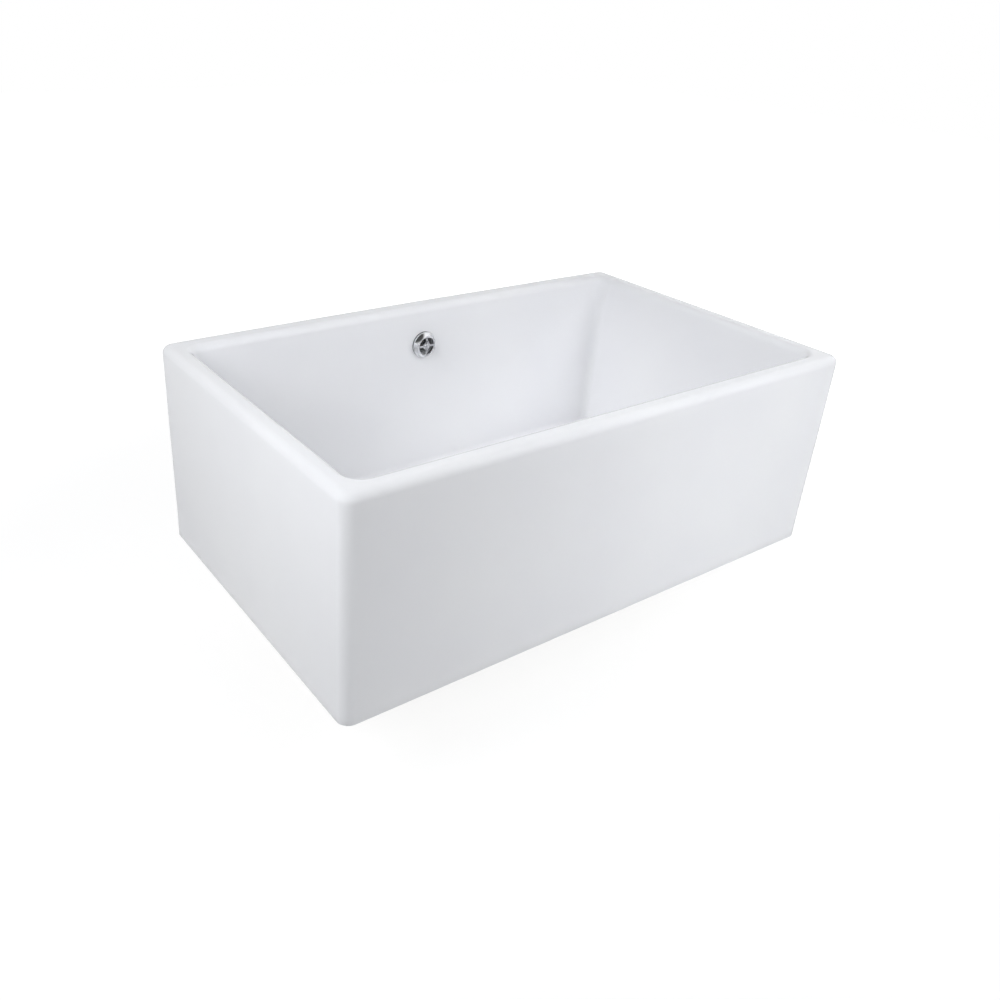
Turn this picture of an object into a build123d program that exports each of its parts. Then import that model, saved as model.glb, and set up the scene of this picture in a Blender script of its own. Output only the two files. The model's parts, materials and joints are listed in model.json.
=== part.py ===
# Apron front kitchen sink in glazed fireclay, with its overflow fitting and its basket strainer waste.
#
# Millimetres. The origin is the middle of the bowl's underside, +X to the right, +Y to the back wall
# and +Z up, so the apron front faces -Y. The waste hangs below the origin, inside the cabinet.

from build123d import *
import math
import os

os.makedirs("parts", exist_ok=True)

# ---- Driving dimensions ---------------------------------------------------------------------------

# The bowl
BOWL_LENGTH = 762.0  # left to right, a 30 inch sink
BOWL_DEPTH = 460.0  # apron front to back
BOWL_HEIGHT = 277.0
SIDE_RIM = 28.0  # width of the rim at the top, left and right
FRONT_RIM = 29.0
BACK_RIM = 33.0  # the back rim is wider, to carry the overflow
WALL_DRAFT = 2.0  # degrees that the inner walls lean, so that the clay leaves its mould
OUTER_CORNER = 15.5  # radius of the upright outer corners
RIM_ROUND = 11.0  # rounding of the rim's outer and inner edges
FOOT_ROUND = 1.5  # the ground edge of the foot
INNER_CORNER = 18.0  # radius of the upright inner corners at the mouth
COVE = 9.0  # radius where the walls meet the floor
BASE_THICKNESS = 22.0  # clay under the floor's lowest point
FLOOR_FALL = 3.0  # how far the floor falls to the waste
FALL_EDGE = 1.0  # level floor between the fall and the cove
WASTE_HOLE_DIAMETER = 90.0  # diameter of the hole for a 3 1/2 inch waste
SEAT_DEPTH = 3.0  # sunk seat round the hole, so that the flange lies flush
UNDERSIDE_RECESS = 4.0  # depth of the ground recess under the base

# The overflow
OVERFLOW_DROP = 57.0  # of its axis below the rim's top
OVERFLOW_HOLE_DIAMETER = 30.0
ROSE_LAP = 5.0  # how far the rose covers the wall round the hole
ROSE_LIP = 1.4  # thickness of the rose's edge at the wall
ROSE_LEDGE = 1.2  # width of that edge outside the dome
ROSE_SHOULDER = 5.0  # from the rose's edge in to its front edge
ROSE_HEIGHT = 7.5
ROSE_DOME = 15.0  # radius of its domed side
ROSE_WALL = 1.6
WINDOW_SETBACK = 1.8  # from the front edge in to the windows
ROSE_HUB = 12.0
ROSE_SPOKE = 3.0
WINDOW_CORNER = 1.0
ROSE_DISC = 1.8  # thickness of the disc with the windows
ROSE_SINK = 1.0  # how far the disc lies behind the front edge
ROSE_BEVEL = 0.5  # width of the bevel down to the disc
ROSE_GASKET = 2.2  # the gasket's thickness on the rose's axis
SCREW_HEAD = 9.6
SCREW_HEAD_HEIGHT = 1.2
SCREW_SHANK = 5.0
SCREW_SLOT = 1.4
SCREW_EDGE = 0.6  # bevel round its head
SCREW_TIP = 0.5  # bevel at its end
SCREW_END = 2.0  # how far the screw's end stays inside its insert
ELBOW_CHAMBER = 50.0
ELBOW_FLANGE_WIDTH = 5.0  # of the elbow's flange, all round its chamber
DROP_LENGTH = 22.0  # of the elbow's outlet below its chamber
PLASTIC = 2.6  # wall of the moulded pieces
SPIGOT_WALL = 2.0
SPIGOT_SETBACK = 4.0  # of the spigot's end behind the inner face of the wall
ARM = 3.0  # thickness of the arms that hold a hub
HUB_ARMS = 3
INSERT_WALL = 2.0
INSERT_LENGTH = 14.0
SEAL_THICKNESS = 3.0

# The hose and its nuts
HOSE_BORE = 19.0
HOSE_WALL = 1.2
RIB_HEIGHT = 2.2
RIB_PITCH = 10.0
RIB_CREST = 3.6
RIB_FLANK = 1.6
HOSE_BEND = 60.0  # radius of the hose's one bend, round the foot of the back wall
COLLAR_DIAMETER = 26.0  # the hose's collars, the same as the threads of its spigots
COLLAR_THICKNESS = 3.0
CUFF_LENGTH = 25.0  # plain end of the hose, through its nut
HOSE_WASHER = 2.5
NUT_WALL = 3.4
NUT_OVERLAP = 11.0  # how far a nut reaches over its spigot
NUT_GRIPS = 8
GRIP_DIAMETER = 4.0

# The waste
STEEL = 1.2  # sheet of the cup
FLANGE_WIDTH = 14.5  # of the cup's flange, all round the cup
CUP_DEPTH = 45.0  # from the flange's top to the underside of the cup's floor
CUP_TAPER = 1.5  # how much less the cup's radius is at its floor
CUP_BEND = 5.0  # radius of the cup's bends
DISH_DIAMETER = 27.0  # pressed dish for the bolt's head
DISH_DEPTH = 6.0
CUP_SLOTS = 8
CUP_SLOT_LENGTH = 8.0
CUP_SLOT_WIDTH = 5.0
BOLT_SHANK = 10.0
BOLT_HEAD = 20.0
BOLT_HEAD_HEIGHT = 3.4
BOLT_SLOT = 2.0
BOLT_EDGE = 1.0  # bevel round its head
BOLT_END = 2.0  # how far the bolt's end stays inside its insert
SOCKET_DEPTH = 14.0  # bore in the bolt that guides the basket's post
BODY_FLANGE_WIDTH = 14.0  # of the body's flange outside the waste hole
BODY_FLANGE_THICKNESS = 5.0
CHAMBER_STEP = 5.0  # how far the chamber's side stands outside the waste hole
CHAMBER_DEPTH = 36.0  # upright part of the chamber, down from the body's top
FUNNEL_DEPTH = 31.0
INLET_DROP = 47.0  # of the side inlet's axis below the foot
INLET_LENGTH = 26.0  # of the side inlet outside the chamber
OUTLET_THREAD = 47.8  # outside diameter of the 1 1/2 inch outlet thread
OUTLET_WALL = 3.2
OUTLET_SHOULDER = 3.0
OUTLET_LENGTH = 30.0
HUB_LENGTH = 22.0
HUB_CAP = 3.0  # plastic above and below the insert in the hub
HUB_WALL = 2.5

# The lift-out basket
SHEET = 0.8
BASKET_RIM_WIDTH = 2.5
BASKET_TAPER = 5.0  # how much less its radius is at its floor than at its mouth
BASKET_LIP = 2.2  # how far the rim is turned down
BASKET_HEIGHT = 22.0
BASKET_BEND = 4.0
BASKET_HOLE_DIAMETER = 4.6
HOLE_MARGIN = 4.0  # from the floor's bend to the middle of its outer holes
RING_STEP = 9.5  # from the outer ring of holes in the floor to the inner one
OUTER_HOLES = 14
INNER_HOLES = 8
SIDE_HOLES = 14
STOPPER_HEIGHT = 5.5
STOPPER_PLATE = 2.5
STOPPER_LIP = 4.0
STOPPER_EDGE = 1.2  # bevel round its top
SPACER_DIAMETER = 13.0
SPACER_LENGTH = 9.3
BASKET_NUT = 14.0
BASKET_NUT_HEIGHT = 2.2
POST_PIN = 5.0
POST_THREAD = 6.0
POST_DIAMETER = 7.0
POST_LENGTH = 16.0  # from the basket's floor to the knob
KNOB_DIAMETER = 20.0
KNOB_HEIGHT = 8.0
KNOB_CROWN = 3.0  # height of its domed top
KNOB_EDGE = 1.0  # upright edge under the dome

# Clearances
SEAT_GAP = 3.0  # round the flange in its seat
RECESS_GAP = 8.0  # round the body's flange in its recess
HOLE_GAP = 1.2  # round the elbow's spigot in the wall
CUP_GAP = 3.5  # round the cup in the waste hole
BASKET_GAP = 1.3  # round the basket's rim in the cup
STOPPER_GAP = 2.8  # from the stopper's edge to the bend of the cup's floor
GUIDE_GAP = 0.1  # round the post in its socket
THREAD_GAP = 0.05  # between a screw and its thread
SCREW_GAP = 0.4  # round a screw in a plain hole
NUT_GAP = 0.2  # round a spigot or a cuff in its nut
WALL_GAP = 2.0  # between a hose nut and the back of the bowl
DISH_GAP = 2.0  # between the dish and the hub under it
SOCKET_GAP = 2.0  # under the post's end
SEAL_LAP = 1.0  # how far a seal stands back from the edge that it lies under
SEAL_MOUTH = 2.0  # how much wider a seal's hole is than the hole under it

# ---- Places that follow ---------------------------------------------------------------------------

lean = math.tan(math.radians(WALL_DRAFT))
back = BOWL_DEPTH / 2
floor_rim = BASE_THICKNESS + FLOOR_FALL  # height where the floor leaves the cove
basin_drop = BOWL_HEIGHT - floor_rim
basin_length = BOWL_LENGTH - 2 * SIDE_RIM
basin_depth = BOWL_DEPTH - FRONT_RIM - BACK_RIM
basin_y = (FRONT_RIM - BACK_RIM) / 2
fall_radius = basin_depth / 2 - basin_drop * lean - COVE - abs(basin_y) - FALL_EDGE
overflow_z = BOWL_HEIGHT - OVERFLOW_DROP

# Along Y on the overflow's axis, from the basin to the cabinet
wall_face = back - BACK_RIM - OVERFLOW_DROP * lean
rose_back = wall_face - ROSE_GASKET
disc_front = rose_back - ROSE_HEIGHT + ROSE_SINK
disc_back = disc_front + ROSE_DISC
spigot_end = wall_face + SPIGOT_SETBACK
spigot_diameter = OVERFLOW_HOLE_DIAMETER - 2 * HOLE_GAP
rose_radius = OVERFLOW_HOLE_DIAMETER / 2 + ROSE_LAP
face_radius = rose_radius - ROSE_SHOULDER
window_radius = face_radius - WINDOW_SETBACK
elbow_flange_radius = ELBOW_CHAMBER / 2 + ELBOW_FLANGE_WIDTH
insert_diameter = SCREW_SHANK + 2 * INSERT_WALL
hub_diameter = insert_diameter + 2 * INSERT_WALL
hub_front = spigot_end + HUB_CAP
hub_back = hub_front + INSERT_LENGTH
screw_end = hub_back - SCREW_END
elbow_face = back + SEAL_THICKNESS
nut_bore = COLLAR_DIAMETER + 2 * NUT_GAP
nut_diameter = nut_bore + 2 * NUT_WALL
drop_y = back + WALL_GAP + (nut_diameter + GRIP_DIAMETER) / 2
elbow_back = drop_y + COLLAR_DIAMETER / 2

# Across the waste
cup_diameter = WASTE_HOLE_DIAMETER - 2 * CUP_GAP
flange_diameter = cup_diameter + 2 * FLANGE_WIDTH
body_flange = WASTE_HOLE_DIAMETER + 2 * BODY_FLANGE_WIDTH
chamber_diameter = WASTE_HOLE_DIAMETER + 2 * CHAMBER_STEP
inlet_reach = chamber_diameter / 2 + INLET_LENGTH
cup_bore = cup_diameter - 2 * STEEL
basket_rim = cup_bore - 2 * BASKET_GAP
basket_mouth = basket_rim - 2 * BASKET_RIM_WIDTH
basket_foot = basket_mouth - 2 * BASKET_TAPER
outer_ring = basket_foot / 2 - BASKET_BEND - HOLE_MARGIN
stopper_diameter = cup_bore - 2 * (CUP_TAPER + CUP_BEND + STOPPER_GAP)

# Along the hose, which starts under the elbow and ends at the waste's side inlet
drop_end = overflow_z - ELBOW_CHAMBER / 2 - DROP_LENGTH
inlet_z = -INLET_DROP
hose_top = drop_end - HOSE_WASHER
hose_end = inlet_reach + HOSE_WASHER
bend_y = drop_y - HOSE_BEND
bend_z = inlet_z + HOSE_BEND
drop_run = hose_top - bend_z
bend_run = HOSE_BEND * math.pi / 2
hose_length = drop_run + bend_run + bend_y - hose_end
cuff_diameter = HOSE_BORE + 2 * HOSE_WALL
rib_count = int((hose_length - 2 * CUFF_LENGTH) / RIB_PITCH)
rib_start = (hose_length - rib_count * RIB_PITCH) / 2

# Down the waste's axis
seat_floor = BASE_THICKNESS - SEAT_DEPTH
cup_floor = BASE_THICKNESS - CUP_DEPTH  # underside
cup_floor_top = cup_floor + STEEL
bolt_seat = cup_floor_top - DISH_DEPTH
bolt_top = bolt_seat + BOLT_HEAD_HEIGHT
socket_floor = bolt_top - SOCKET_DEPTH
body_top = UNDERSIDE_RECESS - SEAL_THICKNESS
hub_top = cup_floor - DISH_DEPTH - DISH_GAP
hub_bottom = hub_top - HUB_LENGTH
body_insert_top = hub_top - HUB_CAP
body_insert_bottom = hub_bottom + HUB_CAP
body_insert_diameter = BOLT_SHANK + 2 * INSERT_WALL
funnel_top = body_top - CHAMBER_DEPTH
funnel_foot = funnel_top - FUNNEL_DEPTH
outlet_end = funnel_foot - OUTLET_SHOULDER - OUTLET_LENGTH

# Up the basket's post
stopper_top = cup_floor_top + STOPPER_HEIGHT
stopper_under = stopper_top - STOPPER_PLATE
basket_floor = stopper_top + SPACER_LENGTH  # underside
post_shoulder = basket_floor + SHEET
basket_top = basket_floor + BASKET_HEIGHT
knob_under = post_shoulder + POST_LENGTH
post_end = socket_floor + SOCKET_GAP


def on_overflow(y):
    """The plane across the overflow's axis at y, facing the basin, with its own y up."""
    return Plane(origin=(0, y, overflow_z), x_dir=(1, 0, 0), z_dir=(0, -1, 0))


def on_inlet(y):
    """The plane across the side inlet's axis at y, facing the back wall."""
    return Plane(origin=(0, y, inlet_z), x_dir=(1, 0, 0), z_dir=(0, 1, 0))


def on_hose(distance):
    """The plane square to the hose's middle line, a distance along it, facing along it."""
    if distance <= drop_run:
        place, heading = (0, drop_y, hose_top - distance), (0, 0, -1)
    elif distance <= drop_run + bend_run:
        turn = (distance - drop_run) / HOSE_BEND
        place = (0, bend_y + HOSE_BEND * math.cos(turn), bend_z - HOSE_BEND * math.sin(turn))
        heading = (0, -math.sin(turn), -math.cos(turn))
    else:
        place, heading = (0, bend_y - (distance - drop_run - bend_run), inlet_z), (0, -1, 0)
    return Plane(origin=place, x_dir=(1, 0, 0), z_dir=heading)


def finish(builder, name):
    """Label a finished piece and write it."""
    builder.part.label = name
    export_step(builder.part, f"parts/{name}.step")


# ---- The bowl -------------------------------------------------------------------------------------

with BuildPart() as sink_bowl:
    with BuildSketch():
        RectangleRounded(BOWL_LENGTH, BOWL_DEPTH, OUTER_CORNER)
    extrude(amount=BOWL_HEIGHT)
    fillet(sink_bowl.edges().group_by(Axis.Z)[-1], RIM_ROUND)
    fillet(sink_bowl.edges().group_by(Axis.Z)[0], FOOT_ROUND)

    # The basin narrows evenly towards its floor, and a cove runs all round it.
    with BuildPart(mode=Mode.PRIVATE) as basin:
        with BuildSketch(Plane.XY.offset(BOWL_HEIGHT)):
            with Locations((0, basin_y)):
                RectangleRounded(basin_length, basin_depth, INNER_CORNER)
        extrude(amount=-basin_drop, taper=WALL_DRAFT)
        fillet(basin.edges().group_by(Axis.Z)[0], COVE)
    add(basin.part, mode=Mode.SUBTRACT)
    rim = sink_bowl.faces().filter_by(Axis.Z).sort_by(Axis.Z)[-1]
    fillet(rim.inner_wires()[0].edges(), RIM_ROUND)

    # The floor falls from all sides to the sunk seat round the waste hole.
    with Locations((0, 0, BASE_THICKNESS)):
        Cone(
            flange_diameter / 2 + SEAT_GAP,
            fall_radius,
            FLOOR_FALL,
            align=(Align.CENTER, Align.CENTER, Align.MIN),
            mode=Mode.SUBTRACT,
        )
    with BuildSketch(Plane.XY.offset(seat_floor)):
        Circle(flange_diameter / 2 + SEAT_GAP)
    extrude(amount=SEAT_DEPTH, mode=Mode.SUBTRACT)
    with BuildSketch():
        Circle(body_flange / 2 + RECESS_GAP)
    extrude(amount=UNDERSIDE_RECESS, mode=Mode.SUBTRACT)
    with BuildSketch():
        Circle(WASTE_HOLE_DIAMETER / 2)
    extrude(amount=floor_rim, mode=Mode.SUBTRACT)

    # The overflow hole goes square through the upright outer face of the back wall.
    with BuildSketch(on_overflow(back)):
        Circle(OVERFLOW_HOLE_DIAMETER / 2)
    extrude(amount=back - wall_face + OVERFLOW_HOLE_DIAMETER / 2, mode=Mode.SUBTRACT)
finish(sink_bowl, "sink_bowl")

# ---- The overflow ---------------------------------------------------------------------------------

# A cast and chromed rose: a thin edge on the wall, a dome, and a sunk disc with four windows.
with BuildPart() as overflow_rose:
    with BuildSketch(Plane.XY.offset(overflow_z)):
        with BuildLine():
            dome_foot = (rose_radius - ROSE_LEDGE, rose_back - ROSE_LIP)
            dome_top = (face_radius, rose_back - ROSE_HEIGHT)
            edge_top = (rose_radius, rose_back - ROSE_LIP)
            Polyline((rose_radius, rose_back), edge_top, dome_foot)
            dome = RadiusArc(dome_foot, dome_top, ROSE_DOME)
            Polyline(
                dome @ 1,
                (window_radius + ROSE_BEVEL, rose_back - ROSE_HEIGHT),
                (window_radius, disc_front),
                (0, disc_front),
                (0, disc_back),
                (face_radius, disc_back),
                (dome_foot[0] - ROSE_WALL, rose_back),
                (rose_radius, rose_back),
            )
        make_face()
    revolve(axis=Axis((0, 0, overflow_z), (0, 1, 0)))
    with BuildSketch(on_overflow(disc_back)) as windows:
        Circle(window_radius)
        Circle(ROSE_HUB / 2, mode=Mode.SUBTRACT)
        Rectangle(2 * window_radius, ROSE_SPOKE, mode=Mode.SUBTRACT)
        Rectangle(ROSE_SPOKE, 2 * window_radius, mode=Mode.SUBTRACT)
        fillet(windows.vertices(), WINDOW_CORNER)
        Circle(SCREW_SHANK / 2 + SCREW_GAP)
    extrude(amount=ROSE_DISC, mode=Mode.SUBTRACT)
finish(overflow_rose, "overflow_rose")

with BuildPart() as overflow_screw:
    with BuildSketch(on_overflow(disc_front)):
        Circle(SCREW_HEAD / 2)
    extrude(amount=SCREW_HEAD_HEIGHT)
    chamfer(overflow_screw.edges().sort_by(Axis.Y)[0], SCREW_EDGE)
    with BuildSketch(on_overflow(disc_front - SCREW_HEAD_HEIGHT)):
        Rectangle(SCREW_SLOT, SCREW_HEAD)
    extrude(amount=-SCREW_HEAD_HEIGHT / 2, mode=Mode.SUBTRACT)
    with BuildSketch(on_overflow(screw_end)):
        Circle(SCREW_SHANK / 2)
    extrude(amount=screw_end - disc_front)
    chamfer(overflow_screw.edges().sort_by(Axis.Y)[-1], SCREW_TIP)
finish(overflow_screw, "overflow_screw")

# The gasket takes up the lean of the basin's back wall, so it is thicker above than below.
with BuildPart() as rose_gasket:
    with BuildSketch(on_overflow(rose_back)):
        Circle(rose_radius - SEAL_LAP)
        Circle(OVERFLOW_HOLE_DIAMETER / 2 + SEAL_MOUTH, mode=Mode.SUBTRACT)
    extrude(amount=-2 * ROSE_GASKET)
    leaning_wall = Plane(origin=(0, back - BACK_RIM, BOWL_HEIGHT), x_dir=(1, 0, 0), z_dir=(0, -1, lean))
    split(bisect_by=leaning_wall, keep=Keep.TOP)
finish(rose_gasket, "rose_gasket")

with BuildPart() as overflow_seal:
    with BuildSketch(on_overflow(elbow_face)):
        Circle(elbow_flange_radius - SEAL_LAP)
        Circle(OVERFLOW_HOLE_DIAMETER / 2 + SEAL_MOUTH, mode=Mode.SUBTRACT)
    extrude(amount=SEAL_THICKNESS)
finish(overflow_seal, "overflow_seal")

# The moulded elbow: a round chamber behind the wall, a spigot through the wall that holds the
# insert on three arms, and an outlet straight down.
with BuildPart() as overflow_elbow:
    with BuildSketch(on_overflow(elbow_back)):
        Circle(ELBOW_CHAMBER / 2)
    extrude(amount=elbow_back - elbow_face)
    with BuildSketch(Plane.XY.offset(overflow_z)):
        with Locations((0, drop_y)):
            Circle(COLLAR_DIAMETER / 2)
    extrude(amount=drop_end - overflow_z)
    with BuildSketch(on_overflow(elbow_face + PLASTIC)):
        Circle(elbow_flange_radius)
    extrude(amount=PLASTIC)
    with BuildSketch(on_overflow(elbow_face)):
        Circle(spigot_diameter / 2)
    extrude(amount=elbow_face - spigot_end)
    # Its hollow
    with BuildSketch(on_overflow(elbow_back - PLASTIC)):
        Circle(ELBOW_CHAMBER / 2 - PLASTIC)
    extrude(amount=elbow_back - elbow_face - 2 * PLASTIC, mode=Mode.SUBTRACT)
    with BuildSketch(Plane.XY.offset(overflow_z)):
        with Locations((0, drop_y)):
            Circle(HOSE_BORE / 2)
    extrude(amount=drop_end - overflow_z, mode=Mode.SUBTRACT)
    with BuildSketch(on_overflow(elbow_face + PLASTIC)):
        Circle(spigot_diameter / 2 - SPIGOT_WALL)
    extrude(amount=elbow_face + PLASTIC - spigot_end, mode=Mode.SUBTRACT)
    # The hub on its arms
    with BuildSketch(on_overflow(hub_back)):
        Circle(hub_diameter / 2)
        with PolarLocations(spigot_diameter / 4, HUB_ARMS, start_angle=90):
            Rectangle(spigot_diameter / 2 - SPIGOT_WALL / 2, ARM)
        Circle(insert_diameter / 2, mode=Mode.SUBTRACT)
    extrude(amount=INSERT_LENGTH)
finish(overflow_elbow, "overflow_elbow")

with BuildPart() as elbow_insert:
    with BuildSketch(on_overflow(hub_back)):
        Circle(insert_diameter / 2)
        Circle(SCREW_SHANK / 2 + THREAD_GAP, mode=Mode.SUBTRACT)
    extrude(amount=INSERT_LENGTH)
finish(elbow_insert, "elbow_insert")

# ---- The hose and its two nuts --------------------------------------------------------------------

with BuildPart() as overflow_hose:
    # Four circles to a rib: up the flank, along the crest and down again.
    hose_sections = [(0, cuff_diameter)]
    for rib in range(rib_count):
        rib_foot = rib_start + rib * RIB_PITCH + (RIB_PITCH - RIB_CREST) / 2 - RIB_FLANK
        crest = rib_foot + RIB_FLANK
        hose_sections += [
            (rib_foot, cuff_diameter),
            (crest, cuff_diameter + 2 * RIB_HEIGHT),
            (crest + RIB_CREST, cuff_diameter + 2 * RIB_HEIGHT),
            (crest + RIB_CREST + RIB_FLANK, cuff_diameter),
        ]
    hose_sections += [(hose_length, cuff_diameter)]
    for distance, diameter in hose_sections:
        with BuildSketch(on_hose(distance)):
            Circle(diameter / 2)
    loft(ruled=True)
    for start in (0, hose_length - COLLAR_THICKNESS):
        with BuildSketch(on_hose(start)):
            Circle(COLLAR_DIAMETER / 2)
        extrude(amount=COLLAR_THICKNESS)
    # The bore: down, round the bend and forward.
    with BuildSketch(on_hose(0)):
        Circle(HOSE_BORE / 2)
    extrude(amount=drop_run, mode=Mode.SUBTRACT)
    with BuildSketch(on_hose(drop_run)):
        Circle(HOSE_BORE / 2)
    revolve(axis=Axis((0, bend_y, bend_z), (-1, 0, 0)), revolution_arc=90, mode=Mode.SUBTRACT)
    with BuildSketch(on_hose(drop_run + bend_run)):
        Circle(HOSE_BORE / 2)
    extrude(amount=bend_y - hose_end, mode=Mode.SUBTRACT)
finish(overflow_hose, "overflow_hose")


def hose_washer(plane):
    """The flat washer between a spigot's end and the hose's collar."""
    with BuildPart() as washer:
        with BuildSketch(plane):
            Circle(COLLAR_DIAMETER / 2)
            Circle(HOSE_BORE / 2, mode=Mode.SUBTRACT)
        extrude(amount=HOSE_WASHER)
    return washer


def hose_nut(plane):
    """A nut over a spigot; the plane lies on the hose's collar and faces the spigot."""
    with BuildPart() as nut:
        with BuildSketch(plane.offset(-NUT_WALL)):
            Circle(nut_diameter / 2)
            with PolarLocations(nut_diameter / 2, NUT_GRIPS):
                Circle(GRIP_DIAMETER / 2)
        extrude(amount=NUT_WALL + COLLAR_THICKNESS + HOSE_WASHER + NUT_OVERLAP)
        with BuildSketch(plane.offset(-NUT_WALL)):
            Circle(cuff_diameter / 2 + NUT_GAP)
        extrude(amount=NUT_WALL, mode=Mode.SUBTRACT)
        with BuildSketch(plane):
            Circle(nut_bore / 2)
        extrude(amount=COLLAR_THICKNESS + HOSE_WASHER + NUT_OVERLAP, mode=Mode.SUBTRACT)
    return nut


upper_collar = Plane(origin=(0, drop_y, hose_top - COLLAR_THICKNESS), z_dir=(0, 0, 1))
lower_collar = Plane(origin=(0, hose_end + COLLAR_THICKNESS, inlet_z), z_dir=(0, -1, 0))
finish(hose_washer(upper_collar.offset(COLLAR_THICKNESS)), "upper_washer")
finish(hose_nut(upper_collar), "upper_nut")
finish(hose_washer(lower_collar.offset(COLLAR_THICKNESS)), "lower_washer")
finish(hose_nut(lower_collar), "lower_nut")

# ---- The waste ------------------------------------------------------------------------------------

# One pressing: flange, cup, floor and the dish for the bolt's head. The line is its inner face.
with BuildPart() as strainer_cup:
    with BuildSketch(Plane.XZ):
        with BuildLine():
            FilletPolyline(
                (flange_diameter / 2, BASE_THICKNESS),
                (cup_bore / 2, BASE_THICKNESS),
                (cup_bore / 2 - CUP_TAPER, cup_floor_top),
                (DISH_DIAMETER / 2, cup_floor_top),
                (DISH_DIAMETER / 2 - STEEL, bolt_seat),
                (BOLT_SHANK / 2 + SCREW_GAP, bolt_seat),
                radius=(CUP_BEND, CUP_BEND, 0, 0),
            )
            offset(amount=STEEL, side=Side.LEFT, kind=Kind.INTERSECTION)
        make_face()
    revolve(axis=Axis.Z)
    with BuildSketch(Plane.XY.offset(cup_floor)):
        with PolarLocations((stopper_diameter / 2 - STOPPER_LIP + DISH_DIAMETER / 2) / 2, CUP_SLOTS):
            SlotOverall(CUP_SLOT_LENGTH, CUP_SLOT_WIDTH)
    extrude(amount=STEEL, mode=Mode.SUBTRACT)
finish(strainer_cup, "strainer_cup")

with BuildPart() as flange_seal:
    with BuildSketch(Plane.XY.offset(seat_floor)):
        Circle(flange_diameter / 2 - SEAL_LAP)
        Circle(cup_diameter / 2 + CUP_BEND + SEAL_LAP / 2, mode=Mode.SUBTRACT)
    extrude(amount=SEAT_DEPTH - STEEL)
finish(flange_seal, "flange_seal")

with BuildPart() as body_seal:
    with BuildSketch(Plane.XY.offset(body_top)):
        Circle(body_flange / 2 - SEAL_LAP)
        Circle(WASTE_HOLE_DIAMETER / 2 + SEAL_MOUTH, mode=Mode.SUBTRACT)
    extrude(amount=SEAL_THICKNESS)
finish(body_seal, "body_seal")

# The moulded body: a flange under the base, a chamber with the side inlet, a funnel, the outlet,
# and a hub on three arms for the bolt.
with BuildPart() as waste_body:
    with BuildSketch(Plane.XZ):
        with BuildLine():
            Polyline(
                (0, body_top),
                (body_flange / 2, body_top),
                (body_flange / 2, body_top - BODY_FLANGE_THICKNESS),
                (chamber_diameter / 2, body_top - BODY_FLANGE_THICKNESS),
                (chamber_diameter / 2, funnel_top),
                (OUTLET_THREAD / 2 + OUTLET_SHOULDER, funnel_foot),
                (OUTLET_THREAD / 2 + OUTLET_SHOULDER, funnel_foot - OUTLET_SHOULDER),
                (OUTLET_THREAD / 2, funnel_foot - OUTLET_SHOULDER),
                (OUTLET_THREAD / 2, outlet_end),
                (0, outlet_end),
                close=True,
            )
        make_face()
    revolve(axis=Axis.Z)
    with BuildSketch(on_inlet(0)):
        Circle(COLLAR_DIAMETER / 2)
    extrude(amount=inlet_reach)

    with BuildPart(mode=Mode.PRIVATE) as hollow:
        with BuildSketch(Plane.XZ):
            with BuildLine():
                Polyline(
                    (0, body_top),
                    (chamber_diameter / 2 - PLASTIC, body_top),
                    (chamber_diameter / 2 - PLASTIC, funnel_top),
                    (OUTLET_THREAD / 2 - OUTLET_WALL, funnel_foot),
                    (OUTLET_THREAD / 2 - OUTLET_WALL, outlet_end),
                    (0, outlet_end),
                    close=True,
                )
            make_face()
        revolve(axis=Axis.Z)
        with BuildSketch(on_inlet(0)):
            Circle(HOSE_BORE / 2)
        extrude(amount=inlet_reach)
        with BuildSketch(Plane.XY.offset(hub_bottom)):
            Circle(body_insert_diameter / 2 + HUB_WALL)
            with PolarLocations(chamber_diameter / 4, HUB_ARMS, start_angle=30):
                Rectangle(chamber_diameter / 2, ARM)
        extrude(amount=HUB_LENGTH, mode=Mode.SUBTRACT)
        with BuildSketch(Plane.XY.offset(body_insert_bottom)):
            Circle(body_insert_diameter / 2)
        extrude(amount=hub_top - body_insert_bottom)
    add(hollow.part, mode=Mode.SUBTRACT)
finish(waste_body, "waste_body")

with BuildPart() as body_insert:
    with BuildSketch(Plane.XY.offset(body_insert_bottom)):
        Circle(body_insert_diameter / 2)
        Circle(BOLT_SHANK / 2 + THREAD_GAP, mode=Mode.SUBTRACT)
    extrude(amount=body_insert_top - body_insert_bottom)
finish(body_insert, "body_insert")

# The bolt clamps cup, bowl and body together, and its bore guides the basket's post.
with BuildPart() as clamp_bolt:
    with BuildSketch(Plane.XY.offset(bolt_seat)):
        Circle(BOLT_HEAD / 2)
    extrude(amount=BOLT_HEAD_HEIGHT)
    chamfer(clamp_bolt.edges().sort_by(Axis.Z)[-1], BOLT_EDGE)
    with BuildSketch(Plane.XY.offset(bolt_top)):
        Rectangle(BOLT_HEAD, BOLT_SLOT)
    extrude(amount=-BOLT_HEAD_HEIGHT / 2, mode=Mode.SUBTRACT)
    with BuildSketch(Plane.XY.offset(body_insert_bottom + BOLT_END)):
        Circle(BOLT_SHANK / 2)
    extrude(amount=bolt_seat - body_insert_bottom - BOLT_END)
    with BuildSketch(Plane.XY.offset(socket_floor)):
        Circle(POST_PIN / 2 + GUIDE_GAP)
    extrude(amount=SOCKET_DEPTH, mode=Mode.SUBTRACT)
finish(clamp_bolt, "clamp_bolt")

# ---- The lift-out basket --------------------------------------------------------------------------

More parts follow.
